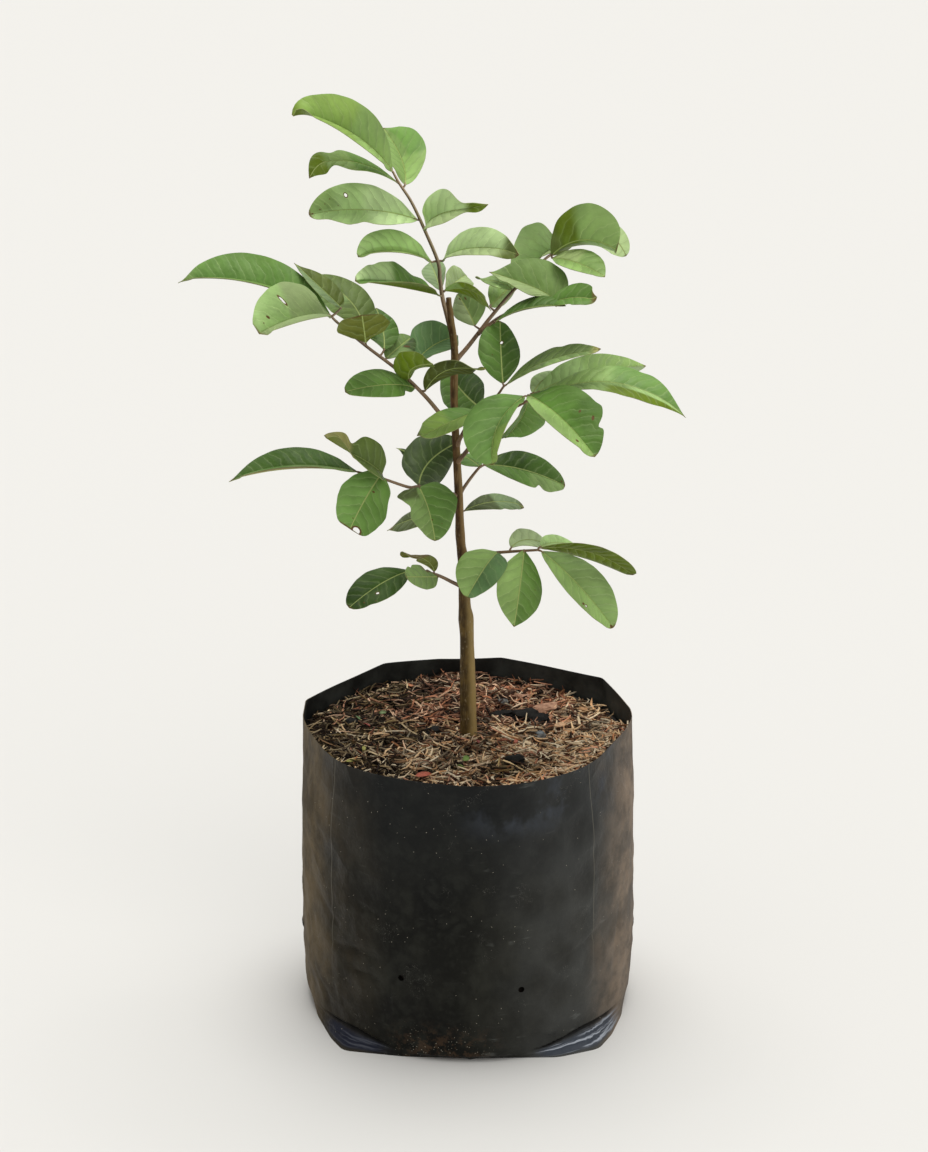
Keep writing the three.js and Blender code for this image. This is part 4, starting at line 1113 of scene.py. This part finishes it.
def make_film_material():
    start = Material("black_film")
    place = start.place()
    broad = place.noise(7, 3)
    cloud = place.times((1, 0.6, 0.7)).noise(24, 4, 0.6)
    crinkle = place.times((1, 0.6, 0.7)).noise(60, 4, 0.6)
    fine = place.noise(210, 3, 0.6)
    height = place.part("Z")
    x = place.part("X")
    y = place.part("Y")
    # Worn patches and scuffs, with painted light: the right half paler, pale creased facets on it,
    # and a painted cool reflection towards the top.
    base = broad.step(0.3, 0.7).between(colour(16, 16, 14), colour(27, 27, 23))
    worn = cloud.step(0.42, 0.8) * (1 - height.step(0.10, 0.26) * 0.6)
    base = base.coat(worn * 0.5, 56, 56, 49)
    patch = place.noise(48, 3, 0.6)
    base = base.coat((patch - 0.5).math("ABSOLUTE").step(0.0, 0.2) * 0.4, 46, 47, 42)
    # Painted light: the right half is paler.
    base = base.coat(x.step(0.0, 0.115) * (0.05 + 0.8 * cloud), 76, 76, 73)
    scuff = place.times((22, 22, 130)).noise(1, 3, 0.6).step(0.60, 0.70)
    scuff = scuff * place.noise(24, 3, 0.6).step(0.52, 0.64)
    base = base.coat(scuff * (0.10 + x.step(-0.02, 0.05) * 0.36), 116, 118, 114)
    facet = place.times((1, 0.7, 0.9)).cells(30).step(0.1, 0.8)
    # Painted light: facets on the right half are paler.
    base = base.coat(facet * x.step(0.0, 0.12) * 0.35, 82, 84, 83)
    # Painted reflection: a cool tint towards the top.
    base = base.coat(height.step(0.13, 0.29) * 0.4, 29, 32, 36)
    # Painted reflection on both flanks, brown-grey and lighter on the right, where the film turns
    # away and would mirror its surroundings, and a painted cool sheen under the rim.
    wander = (place.noise(11, 3) - 0.5) * 0.05
    left = wander - x
    flank = left.step(0.132, 0.170) * 0.78 + left.step(0.075, 0.145) * 0.18
    flank = flank + (x + wander).step(0.118, 0.168)
    right = x.step(-0.02, 0.02)
    blotch = place.times((1, 0.6, 0.8)).noise(30, 6, 0.68).step(0.36, 0.64)
    flank_reflection = flank * (0.45 - right * 0.15 + blotch * 0.6) * (0.74 + right * 0.11)
    base = flank_reflection.between(base, right.between(colour(120, 104, 78), colour(150, 132, 114)))
    sheen = height.step(0.235, 0.27) * cloud.step(0.46, 0.62) * x.step(-0.02, 0.04)
    base = base.coat(sheen * (1 - flank) * 0.6, 70, 75, 84)
    # Painted reflection on the ears: a bluish tint with pale glints along them, brighter on the
    # right, and painted shadow in the fold above them.
    ratio = start.number_map("Ear")
    stand = start.number_map("Stand")
    ear_glint_place = start.node("ShaderNodeCombineXYZ", None, {0: ratio * 7, 1: x * 16, 2: y * 8})
    ear_glint = ear_glint_place.noise(1.0, 3, 0.6)
    ear = ratio.step(0.02, 0.25) * (1 - ratio.step(0.62, 0.92)) * stand
    # Painted reflection: a bluish tint on the ears, lighter on the right.
    base = (ear * 0.9).between(base, right.between(colour(30, 33, 47), colour(60, 66, 76)))
    # Painted highlights: pale glints along the ears.
    base = base.coat(ear * ear_glint.step(0.50, 0.64) * (0.1 + right * 0.75), 172, 178, 188)
    # Painted shadow in the fold above the ears.
    fold = ratio.step(0.72, 0.9) * (1 - ratio.step(0.99, 1.06)) * stand
    base = base.coat(fold * 0.85, 6, 6, 7)
    # Dirt low in the middle, then flecks, specks and hairs.
    low = 1 - height.step(0.012, 0.05)
    middle = 1 - (x + 0.024).math("ABSOLUTE").step(0.012, 0.07)
    dirt = place.noise(90, 5, 0.8).step(0.48, 0.60) * low * middle
    base = base.coat(dirt * 0.32, 104, 80, 60)
    flecks = 1 - place.cells(330).step(0.06, 0.14)
    flecks = flecks * middle * low * place.noise(40, 2).step(0.42, 0.52)
    base = base.coat(flecks, 210, 204, 184)
    speck = 1 - place.cells(160).step(0.03, 0.07)
    chance = place.noise(22, 2).step(0.46, 0.54)
    base = base.coat(speck * chance * 0.8, 206, 198, 180)
    hairs = 1 - place.times((1, 1, 1.6)).node(
        "ShaderNodeTexNoise", None,
        {"Scale": 46, "Detail": 2, "Roughness": 0.5, "Distortion": 1.2})
    hairs = (hairs - 0.5).math("ABSOLUTE")
    hairs = (1 - hairs.step(0.0, 0.006)) * place.noise(30, 2).step(0.60, 0.66)
    base = base.coat(hairs * 0.35, 150, 148, 140)
    # Painted shade: dark rings round the side holes. Painted highlight: a pale line down each seam.
    across = y + SIDE_HOLE_FORWARD
    down = height - SIDE_HOLE_HEIGHT
    hole_shade_ring = 1 - (across * across * 0.5 + down * down).step(16e-6, 34e-6)
    base = base.coat(hole_shade_ring * x.math("ABSOLUTE").step(0.13, 0.14), 4, 4, 4)
    for corner in SEAMS:
        off = x * -math.sin(corner) + y * math.cos(corner)
        line = (1 - off.math("ABSOLUTE").step(0.2 * MM, 0.8 * MM)) * (1 - y.step(-0.03, 0.0))
        base = base.coat(line * height.step(0.03, 0.16) * 0.55, 112, 108, 98)
    rough = cloud * 0.16 + broad * 0.1 + 0.24 + dirt * 0.3 + speck * chance * 0.3 + flank * 0.3
    relief = crinkle * 1.5 * MM + fine * 0.12 * MM + cloud * 3.0 * MM + facet * 2.4 * MM
    return start.finish(base, rough, relief, specular=0.08)


BAG_AROUND = 360
BAG_FLOOR_ROWS = 6
# Heights of the wall's rows: close together over the ears, even above them.
BAG_WALL = [EAR_HEIGHT * 1.3 * k / 22 for k in range(22)]
BAG_WALL += [mix(EAR_HEIGHT * 1.3, BAG_HEIGHT, k / 90) for k in range(91)]


def rim_lift(angle):
    """How far the rim stands above its plain height, highest at the back."""
    wave = math.sin(3 * angle + 0.6) + 0.6 * math.sin(7 * angle)
    return (6.0 * smooth(-0.1, 0.6, math.sin(angle)) + 0.9 * wave) * MM


def make_bag():
    bm = bmesh.new()
    ear = bm.verts.layers.float.new("Ear")
    stand = bm.verts.layers.float.new("Stand")
    rows = BAG_FLOOR_ROWS + len(BAG_WALL) - 1
    bmesh.ops.create_grid(bm, x_segments=BAG_AROUND, y_segments=rows, size=0.5)
    sections = {}
    for vert in bm.verts:
        step = round((vert.co.x + 0.5) * BAG_AROUND)
        angle = step / BAG_AROUND * 2 * math.pi
        if step not in sections:
            sections[step] = bag_section(angle)
        row = round((vert.co.y + 0.5) * rows)
        z = BAG_WALL[max(0, row - BAG_FLOOR_ROWS)]
        radius = bag_radius(angle, z, sections[step])
        if row < BAG_FLOOR_ROWS:
            radius *= row / BAG_FLOOR_ROWS
        else:
            radius += bag_relief(angle, z) + ear_relief(angle, z)
            proud = sections[step][0] - bag_radius(angle, EAR_HEIGHT * 1.1, sections[step])
            vert[stand] = smooth(1 * MM, 10 * MM, proud) * smooth(0.3, -0.1, math.sin(angle))
            vert[ear] = min(2, z / crease_height(angle))
        z += rim_lift(angle) * smooth(0.24, 0.3, z)
        vert.co = (radius * math.cos(angle), radius * math.sin(angle), z)
    bmesh.ops.remove_doubles(bm, verts=bm.verts, dist=1e-6)
    bmesh.ops.recalc_face_normals(bm, faces=bm.faces)
    film = make_film_material()
    inside = plain_material("film_inside", (28, 29, 28), (62, 64, 61), 26, 0.4, 1.0)
    bag = to_object(bm, "bag_film", [film, inside])
    thicken(bag, FILM_THICKNESS, inner=1)
    punches = bmesh.new()
    for x, y, z in DRAIN_HOLES:
        sideways = Vector((x, y, 0)).normalized()
        punch = bmesh.new()
        bmesh.ops.create_cone(punch, cap_ends=True, segments=14, radius1=DRAIN_HOLE_RADIUS,
                              radius2=DRAIN_HOLE_RADIUS, depth=0.04)
        turn = sideways.to_track_quat("Z", "Y").to_matrix().to_4x4()
        turn.translation = (x, y, z)
        bmesh.ops.transform(punch, matrix=turn, verts=punch.verts)
        join(punches, punch)
    cutter = to_object(punches, "punches", [film])
    holes = bag.modifiers.new("holes", "BOOLEAN")
    holes.operation = "DIFFERENCE"
    holes.object = cutter
    holes.solver = "MANIFOLD"
    apply_modifiers(bag)
    bpy.data.objects.remove(cutter)
    bag.data.set_sharp_from_angle(angle=math.radians(28))
    place_piece(bag, "film", "grow_bag")


# Soil and chips ---------------------------------------------------------------------------------

def soil_height(x, y):
    bumps = 6 * noise.noise(Vector((x * 24, y * 24, 2)))
    bumps += 3 * noise.noise(Vector((x * 60, y * 60, 7)))
    hollow = 9 * math.exp(-((x - 0.11) / 0.06) ** 2 - ((y - 0.08) / 0.06) ** 2)
    return SOIL_LEVEL + (bumps - hollow) * MM


def make_soil_material():
    start = Material("potting_mix")
    place = start.place()
    lumps = place.noise(120, 4, 0.7)
    base = lumps.step(0.3, 0.7).between(colour(12, 9, 7), colour(44, 32, 22))
    return start.finish(base, lumps * 0.2 + 0.75, lumps * 3 * MM)


def make_soil():
    bm = bmesh.new()
    bmesh.ops.create_grid(bm, x_segments=120, y_segments=60, size=0.5)
    for vert in bm.verts:
        angle = (vert.co.x + 0.5) * 2 * math.pi
        t = vert.co.y + 0.5
        if t < 0.75:
            share = t / 0.75
            radius = (bag_radius(angle, SOIL_LEVEL) - 4 * MM) * share
            x, y = radius * math.cos(angle), radius * math.sin(angle)
            rough = noise.noise(Vector((x, y, 0)) * 90)
            rough += noise.noise(Vector((x, y, 3)) * 260) * 0.5
            z = soil_height(x, y) + rough * 1.5 * MM
        else:
            share = min(1, (1 - t) / 0.1)
            z = mix(2 * MM, SOIL_LEVEL, smooth(0, 1, max(0, 0.9 - t) / 0.15))
            radius = (min(bag_radius(angle, z), BAG_RADIUS - BODY_TAPER) - 4.5 * MM) * share
        vert.co = (radius * math.cos(angle), radius * math.sin(angle), z)
    bmesh.ops.remove_doubles(bm, verts=bm.verts, dist=1e-6)
    bmesh.ops.recalc_face_normals(bm, faces=bm.faces)
    soil = to_object(bm, "potting_soil", [make_soil_material()])
    place_piece(soil, "soil", "soil")


# Colours of the chips with how many there are of each, for the parts of the mulch.
STRAW_CHIPS = [((236, 212, 176), 22), ((206, 174, 134), 26), ((168, 130, 94), 18),
               ((246, 228, 196), 12), ((108, 72, 46), 12), ((50, 32, 20), 10)]
RED_CHIPS = [((184, 134, 106), 22), ((144, 96, 70), 24), ((220, 182, 150), 18),
             ((94, 56, 40), 16), ((234, 204, 172), 9), ((40, 25, 16), 12)]
DARK_CHIPS = [((118, 100, 66), 18), ((74, 58, 34), 24), ((176, 152, 114), 16),
              ((44, 32, 18), 22), ((206, 184, 146), 10), ((26, 18, 12), 12)]


# The turn from one chip's place to the next one's, which spreads them evenly, in radians.
GOLDEN_TURN = 2.39996
# Chips nearer to the stem than STEM_CLEARANCE move aside by STEM_SHIFT.
STEM_CLEARANCE = 11 * MM
STEM_SHIFT = 16 * MM


def chip_tones(x, y, draw):
    """The colours to draw from at a place: dark on the left, red behind, straw elsewhere."""
    patch = noise.noise(Vector((x * 26, y * 26, 5)))
    dark = smooth(-0.03, -0.10, x + 0.05 * patch) * 0.75
    dark = max(dark, 0.8 * smooth(0.03, 0.015, math.hypot(x - 0.04, y + 0.09) + 0.01 * patch))
    red = smooth(-0.01, 0.05, y + 0.04 * patch) * smooth(0.14, 0.07, x)
    pick = draw.random()
    if pick < dark:
        return DARK_CHIPS
    return RED_CHIPS if draw.random() < max(0.18, red * 0.85) else STRAW_CHIPS


def make_chip_material():
    start = Material("wood_chip")
    tone = start.colour_map("Tone")
    wrap = start.node("ShaderNodeUVMap", {"uv_map": "Grain"})
    grain = wrap.times((1.2, 16, 1)).noise(3, 3)
    place = start.place()
    stain = place.noise(170, 2)
    base = tone.coat(grain.step(0.45, 0.7) * 0.4, 74, 50, 34)
    base = base.coat(stain.step(0.55, 0.75) * 0.3, 40, 30, 22)
    return start.finish(base, grain * 0.15 + 0.7, grain * 0.4 * MM, specular=0.2)


def chip_template(cuts):
    """One splinter of unit size, split along its length so that it can bend."""
    bm = bmesh.new()
    grain = bm.loops.layers.uv.new("Grain")
    bmesh.ops.create_cube(bm, size=1, calc_uvs=True)
    for k in range(1, cuts + 1):
        bmesh.ops.bisect_plane(bm, geom=bm.verts[:] + bm.edges[:] + bm.faces[:],
                               plane_co=(k / (cuts + 1) - 0.5, 0, 0), plane_no=(1, 0, 0))
    for face in bm.faces:
        for loop in face.loops:
            loop[grain].uv = (loop.vert.co.x, loop.vert.co.y + loop.vert.co.z * 0.5)
    mesh = bpy.data.meshes.new("chip")
    bm.to_mesh(mesh)
    bm.free()
    return mesh


def mulch_limit(angle):
    """How far out the mulch reaches at an angle."""
    return min(bag_radius(angle, SOIL_LEVEL), bag_radius(angle, SOIL_LEVEL + 0.012)) - 2.2 * MM


def chip_light(x, y, lift, draw):
    """What a chip's colour is multiplied by, with painted shade: less deep down among the chips,
    less on the left and behind, and uneven in patches.
    """
    dim = draw.triangular(0.15, 3.2, 0.3) * (0.04 + 1.1 * lift)
    dim *= mix(0.75, 1.4, smooth(-0.1, 0.12, x))
    dim *= mix(0.45, 1.45, smooth(-0.4, 0.4, noise.noise(Vector((x * 36, y * 36, 9)))))
    return dim * mix(1, 0.8, smooth(0, 0.06, y))


def make_chips(name, material, count, seed, cuts, longest, widest, rise):
    """A layer of splinters with greatest lengths, widths and heights in mm."""
    draw = random.Random(seed)
    template = chip_template(cuts)
    bm = bmesh.new()
    for _ in range(count):
        bm.from_mesh(template)
    size = len(template.vertices)
    bpy.data.meshes.remove(template)
    tone_layer = bm.verts.layers.float_color.new("Tone")
    bm.verts.ensure_lookup_table()
    limits = [mulch_limit(math.radians(k)) for k in range(361)]
    stem_place = sheet(STEM[-2][0])
    for i in range(count):
        angle = (i * GOLDEN_TURN) % (2 * math.pi)
        radius = math.sqrt(draw.uniform(0.0, 1.0)) * (BAG_RADIUS - 6 * MM)
        x, y = radius * math.cos(angle), radius * math.sin(angle)
        if math.hypot(x - stem_place.x, y - stem_place.y) < STEM_CLEARANCE:
            x += STEM_SHIFT
        long = draw.triangular(7, longest, longest * 0.45) * MM
        wide = draw.triangular(0.8, widest, widest * 0.4) * MM
        thick = draw.uniform(0.6, 1.6) * MM
        yaw, pitch = draw.uniform(0, math.pi), draw.gauss(0, 0.24)
        roll, bend = draw.uniform(-0.8, 0.8), draw.gauss(0, 0.24)
        bow = draw.gauss(0, 0.10)
        point = [draw.uniform(0.1, 1), draw.uniform(0.1, 1)]
        lift = draw.random()
        z = soil_height(x, y) + lift * rise * MM
        tones, weights = zip(*chip_tones(x, y, draw))
        tone = colour(*draw.choices(tones, weights)[0])
        dim = min(chip_light(x, y, lift, draw), 0.86 / max(tone[:3]))
        tone = (tone[0] * dim, tone[1] * dim, tone[2] * dim, 1)
        for vert in bm.verts[i * size:(i + 1) * size]:
            end = point[0] if vert.co.x < 0 else point[1]
            slim = mix(1, end, min(1, 2 * abs(vert.co.x)) ** 2)
            px = vert.co.x * long
            py = vert.co.y * wide * slim + bend * long * (vert.co.x ** 2) * 2
            pz = vert.co.z * thick * slim + bow * long * (0.25 - vert.co.x ** 2) * 2
            py, pz = spin(py, pz, roll)
            px, pz = spin(px, pz, pitch)
            px, py = spin(px, py, yaw)
            vert.co = (x + px, y + py, z + pz)
            reach = math.hypot(vert.co.x, vert.co.y)
            limit = limits[round(math.degrees(math.atan2(vert.co.y, vert.co.x)) % 360)]
            if reach > limit:
                vert.co.x *= limit / reach
                vert.co.y *= limit / reach
            vert[tone_layer] = tone
    bmesh.ops.recalc_face_normals(bm, faces=bm.faces)
    chips = to_object(bm, name, [material])
    chips.data.set_sharp_from_angle(angle=math.radians(40))
    place_piece(chips, "soil")


def mulch_place(across, down):
    """The point of the mulch's surface that lies under a place of the sheet."""
    ray = sight_line(across, down)
    place = EYE + ray * ((SOIL_LEVEL - EYE.z) / ray.z)
    place.z = soil_height(place.x, place.y) + 5 * MM
    return place


def add_lump(bm, place, size, turn, seed):
    """Adds an uneven lump with the half sizes given along its own axes, in metres."""
    part = bmesh.new()
    bmesh.ops.create_icosphere(part, subdivisions=3, radius=1)
    for vert in part.verts:
        bump = 1 + LUMP_RELIEF * noise.noise(vert.co * 1.7 + Vector((seed, 0, 0)))
        bump += LUMP_RELIEF * 0.5 * noise.noise(vert.co * 4.5 + Vector((0, seed, 0)))
        x, y, z = [length * half * bump for length, half in zip(vert.co, size)]
        x, y = spin(x, y, turn)
        vert.co = (place.x + x, place.y + y, place.z + z)
    join(bm, part)


# How uneven the lumps are, as a share of their size.
LUMP_RELIEF = 0.35
SCRAP_THICKNESS = 0.5 * MM

# Larger bits in the mulch: (kind, across, down, half sizes in mm, turn in degrees, height in mm).
MULCH_BITS = [
    ("charcoal", 504, 718, (13, 7, 5), 8, 5), ("charcoal", 526, 722, (16, 11, 7), -10, 5),
    ("charcoal", 540, 725, (11, 9, 6), 20, 4), ("charcoal", 515, 766, (12, 9, 5), 30, 2),
    ("charcoal", 434, 737, (11, 8, 4), 0, 1), ("charcoal", 352, 728, (8, 6, 4), 0, 2),
    ("bark", 544, 710, (16, 9, 3), 35, 6), ("bark", 522, 703, (8, 5, 2), -20, 4),
    ("stone", 503, 708, (5, 4, 4), 0, 4), ("stone", 541, 743, (5, 4, 3), 40, 4),
]

# Small leaf scraps in the mulch: (colour, across, down, length and width in mm, turn, tilt).
SCRAPS = [
    ((170, 84, 62), 423, 784, 17, 7, 25, 20), ((150, 66, 54), 367, 734, 10, 4, 130, 25),
    ((108, 136, 62), 466, 770, 11, 6, 60, 35), ((124, 148, 76), 461, 774, 8, 5, 150, 40),
    ((80, 108, 62), 358, 727, 10, 5, 110, 30), ((100, 124, 74), 383, 723, 8, 4, 30, 30),
    ((158, 154, 78), 364, 760, 10, 4, 80, 30), ((146, 144, 66), 351, 770, 10, 4, 20, 20),
    ((160, 84, 60), 516, 748, 8, 4, 70, 25), ((96, 104, 108), 540, 741, 9, 5, 0, 20),
    ((140, 60, 46), 478, 752, 8, 4, 100, 30), ((190, 150, 110), 560, 735, 14, 7, 20, 15),
]


def make_mulch_bits():
    materials = {
        "charcoal": plain_material("charcoal", (8, 7, 6), (26, 24, 21), 260, 0.6, 1.2),
        "bark": plain_material("bark_plate", (128, 94, 74), (172, 134, 110), 150, 0.7, 0.8),
        "stone": plain_material("small_stone", (66, 66, 66), (116, 114, 110), 300, 0.7, 0.3),
    }
    for kind, material in materials.items():
        bm = bmesh.new()
        for number, (name, across, down, sizes, turn, height) in enumerate(MULCH_BITS):
            if name == kind:
                place = mulch_place(across, down) + Vector((0, 0, height * MM))
                add_lump(bm, place, [size * MM for size in sizes], math.radians(turn), number * 3.1)
        piece = to_object(bm, "mulch_" + kind, [material])
        piece.data.set_sharp_from_angle(angle=math.radians(35))
        place_piece(piece, "soil")
    bm = bmesh.new()
    bm.verts.layers.float_color.new("Tone")
    for shade, across, down, length, width, turn, tilt in SCRAPS:
        place = mulch_place(across, down) + Vector((0, 0, 6 * MM))
        part = bmesh.new()
        layer = part.verts.layers.float_color.new("Tone")
        bmesh.ops.create_grid(part, x_segments=8, y_segments=4, size=0.5)
        for vert in part.verts:
            t, v = vert.co.x + 0.5, vert.co.y
            half = math.sin(math.pi * min(1, max(0, t))) ** 0.7
            vert.co = ((t - 0.5) * length * MM, v * width * half * MM,
                       (abs(v) * 0.35 * width - 3 * (t - 0.5) ** 2) * MM)
            vert[layer] = colour(*shade)
        turned = Matrix.Rotation(math.radians(turn), 4, "Z") @ Matrix.Rotation(
            math.radians(tilt), 4, "X")
        turned.translation = place
        bmesh.ops.transform(part, matrix=turned, verts=part.verts)
        join(bm, part)
    start = Material("leaf_scrap")
    stain = start.place().noise(220, 3)
    base = start.colour_map("Tone").coat(stain.step(0.45, 0.7) * 0.5, 70, 52, 34)
    scraps = to_object(bm, "leaf_scraps", [start.finish(base, stain * 0.2 + 0.5)])
    thicken(scraps, SCRAP_THICKNESS)
    apply_modifiers(scraps)
    place_piece(scraps, "soil")
    lift = Vector((0, 0, 7 * MM))
    line = [mulch_place(*spot) + lift for spot in ((462, 754), (475, 757), (489, 763), (503, 771))]
    twig = tube(smooth_line(line, 30), lambda t, angle: mix(1.2, 0.7, t) * MM, 8)
    bark = plain_material("dry_twig", (70, 52, 38), (120, 92, 66), 300, 0.6)
    place_piece(to_object(twig, "loose_twig", [bark]), "soil")


# The studio -------------------------------------------------------------------------------------

SENSOR_WIDTH = 36  # in millimetres
FLOOR_HALF_SIZE = 30


def make_floor():
    bm = bmesh.new()
    bmesh.ops.create_grid(bm, x_segments=2, y_segments=2, size=FLOOR_HALF_SIZE)
    material = Material("studio_floor").finish(colour(213, 212, 209), 0.9, specular=0.1)
    to_object(bm, "studio_floor", [material])


def add_sun(name, place, strength, spread, shade):
    light = bpy.data.lights.new(name, "SUN")
    light.energy = strength
    light.angle = math.radians(spread)
    light.color = shade
    lamp = bpy.data.objects.new(name, light)
    lamp.location = place
    lamp.rotation_mode = "QUATERNION"
    lamp.rotation_quaternion = (-Vector(place)).to_track_quat("-Z", "Y")
    bpy.context.scene.collection.objects.link(lamp)


def make_studio():
    make_floor()
    add_sun("key_light", (0.9, -2.0, 1.9), 0.6, 45, (1, 0.985, 0.95))
    add_sun("top_light", (0.1, 0.45, 2.4), 2.45, 40, (1, 0.99, 0.97))
    world = bpy.data.worlds.new("studio")
    world.use_nodes = True
    background = world.node_tree.nodes["Background"]
    background.inputs["Color"].default_value = (1, 0.995, 0.98, 1)
    background.inputs["Strength"].default_value = 0.47
    bpy.context.scene.world = world


def make_camera():
    data = bpy.data.cameras.new("camera")
    data.sensor_fit = "AUTO"
    data.sensor_width = SENSOR_WIDTH
    data.lens = SENSOR_WIDTH * VIEW_DISTANCE / MM / SHEET_HEIGHT
    camera = bpy.data.objects.new("camera", data)
    camera.location = EYE
    camera.rotation_mode = "QUATERNION"
    camera.rotation_quaternion = VIEW_AXIS.to_track_quat("-Z", "Y")
    bpy.context.scene.collection.objects.link(camera)
    bpy.context.scene.camera = camera


make_camera()
make_studio()
leaf_materials = [make_leaf_top(), make_leaf_under(), make_leaf_edge(), make_stalk_material()]
for frond_name in FRONDS:
    make_frond(frond_name, leaf_materials)
make_stem()
make_bag()
make_soil()
chip_material = make_chip_material()
make_chips("wood_chips", chip_material, count=3400, seed=11, cuts=3,
           longest=30, widest=4.0, rise=6.0)
make_chips("wood_shreds", chip_material, count=5200, seed=29, cuts=2,
           longest=32, widest=2.0, rise=9.0)
make_mulch_bits()

bpy.context.scene.view_settings.view_transform = "Standard"
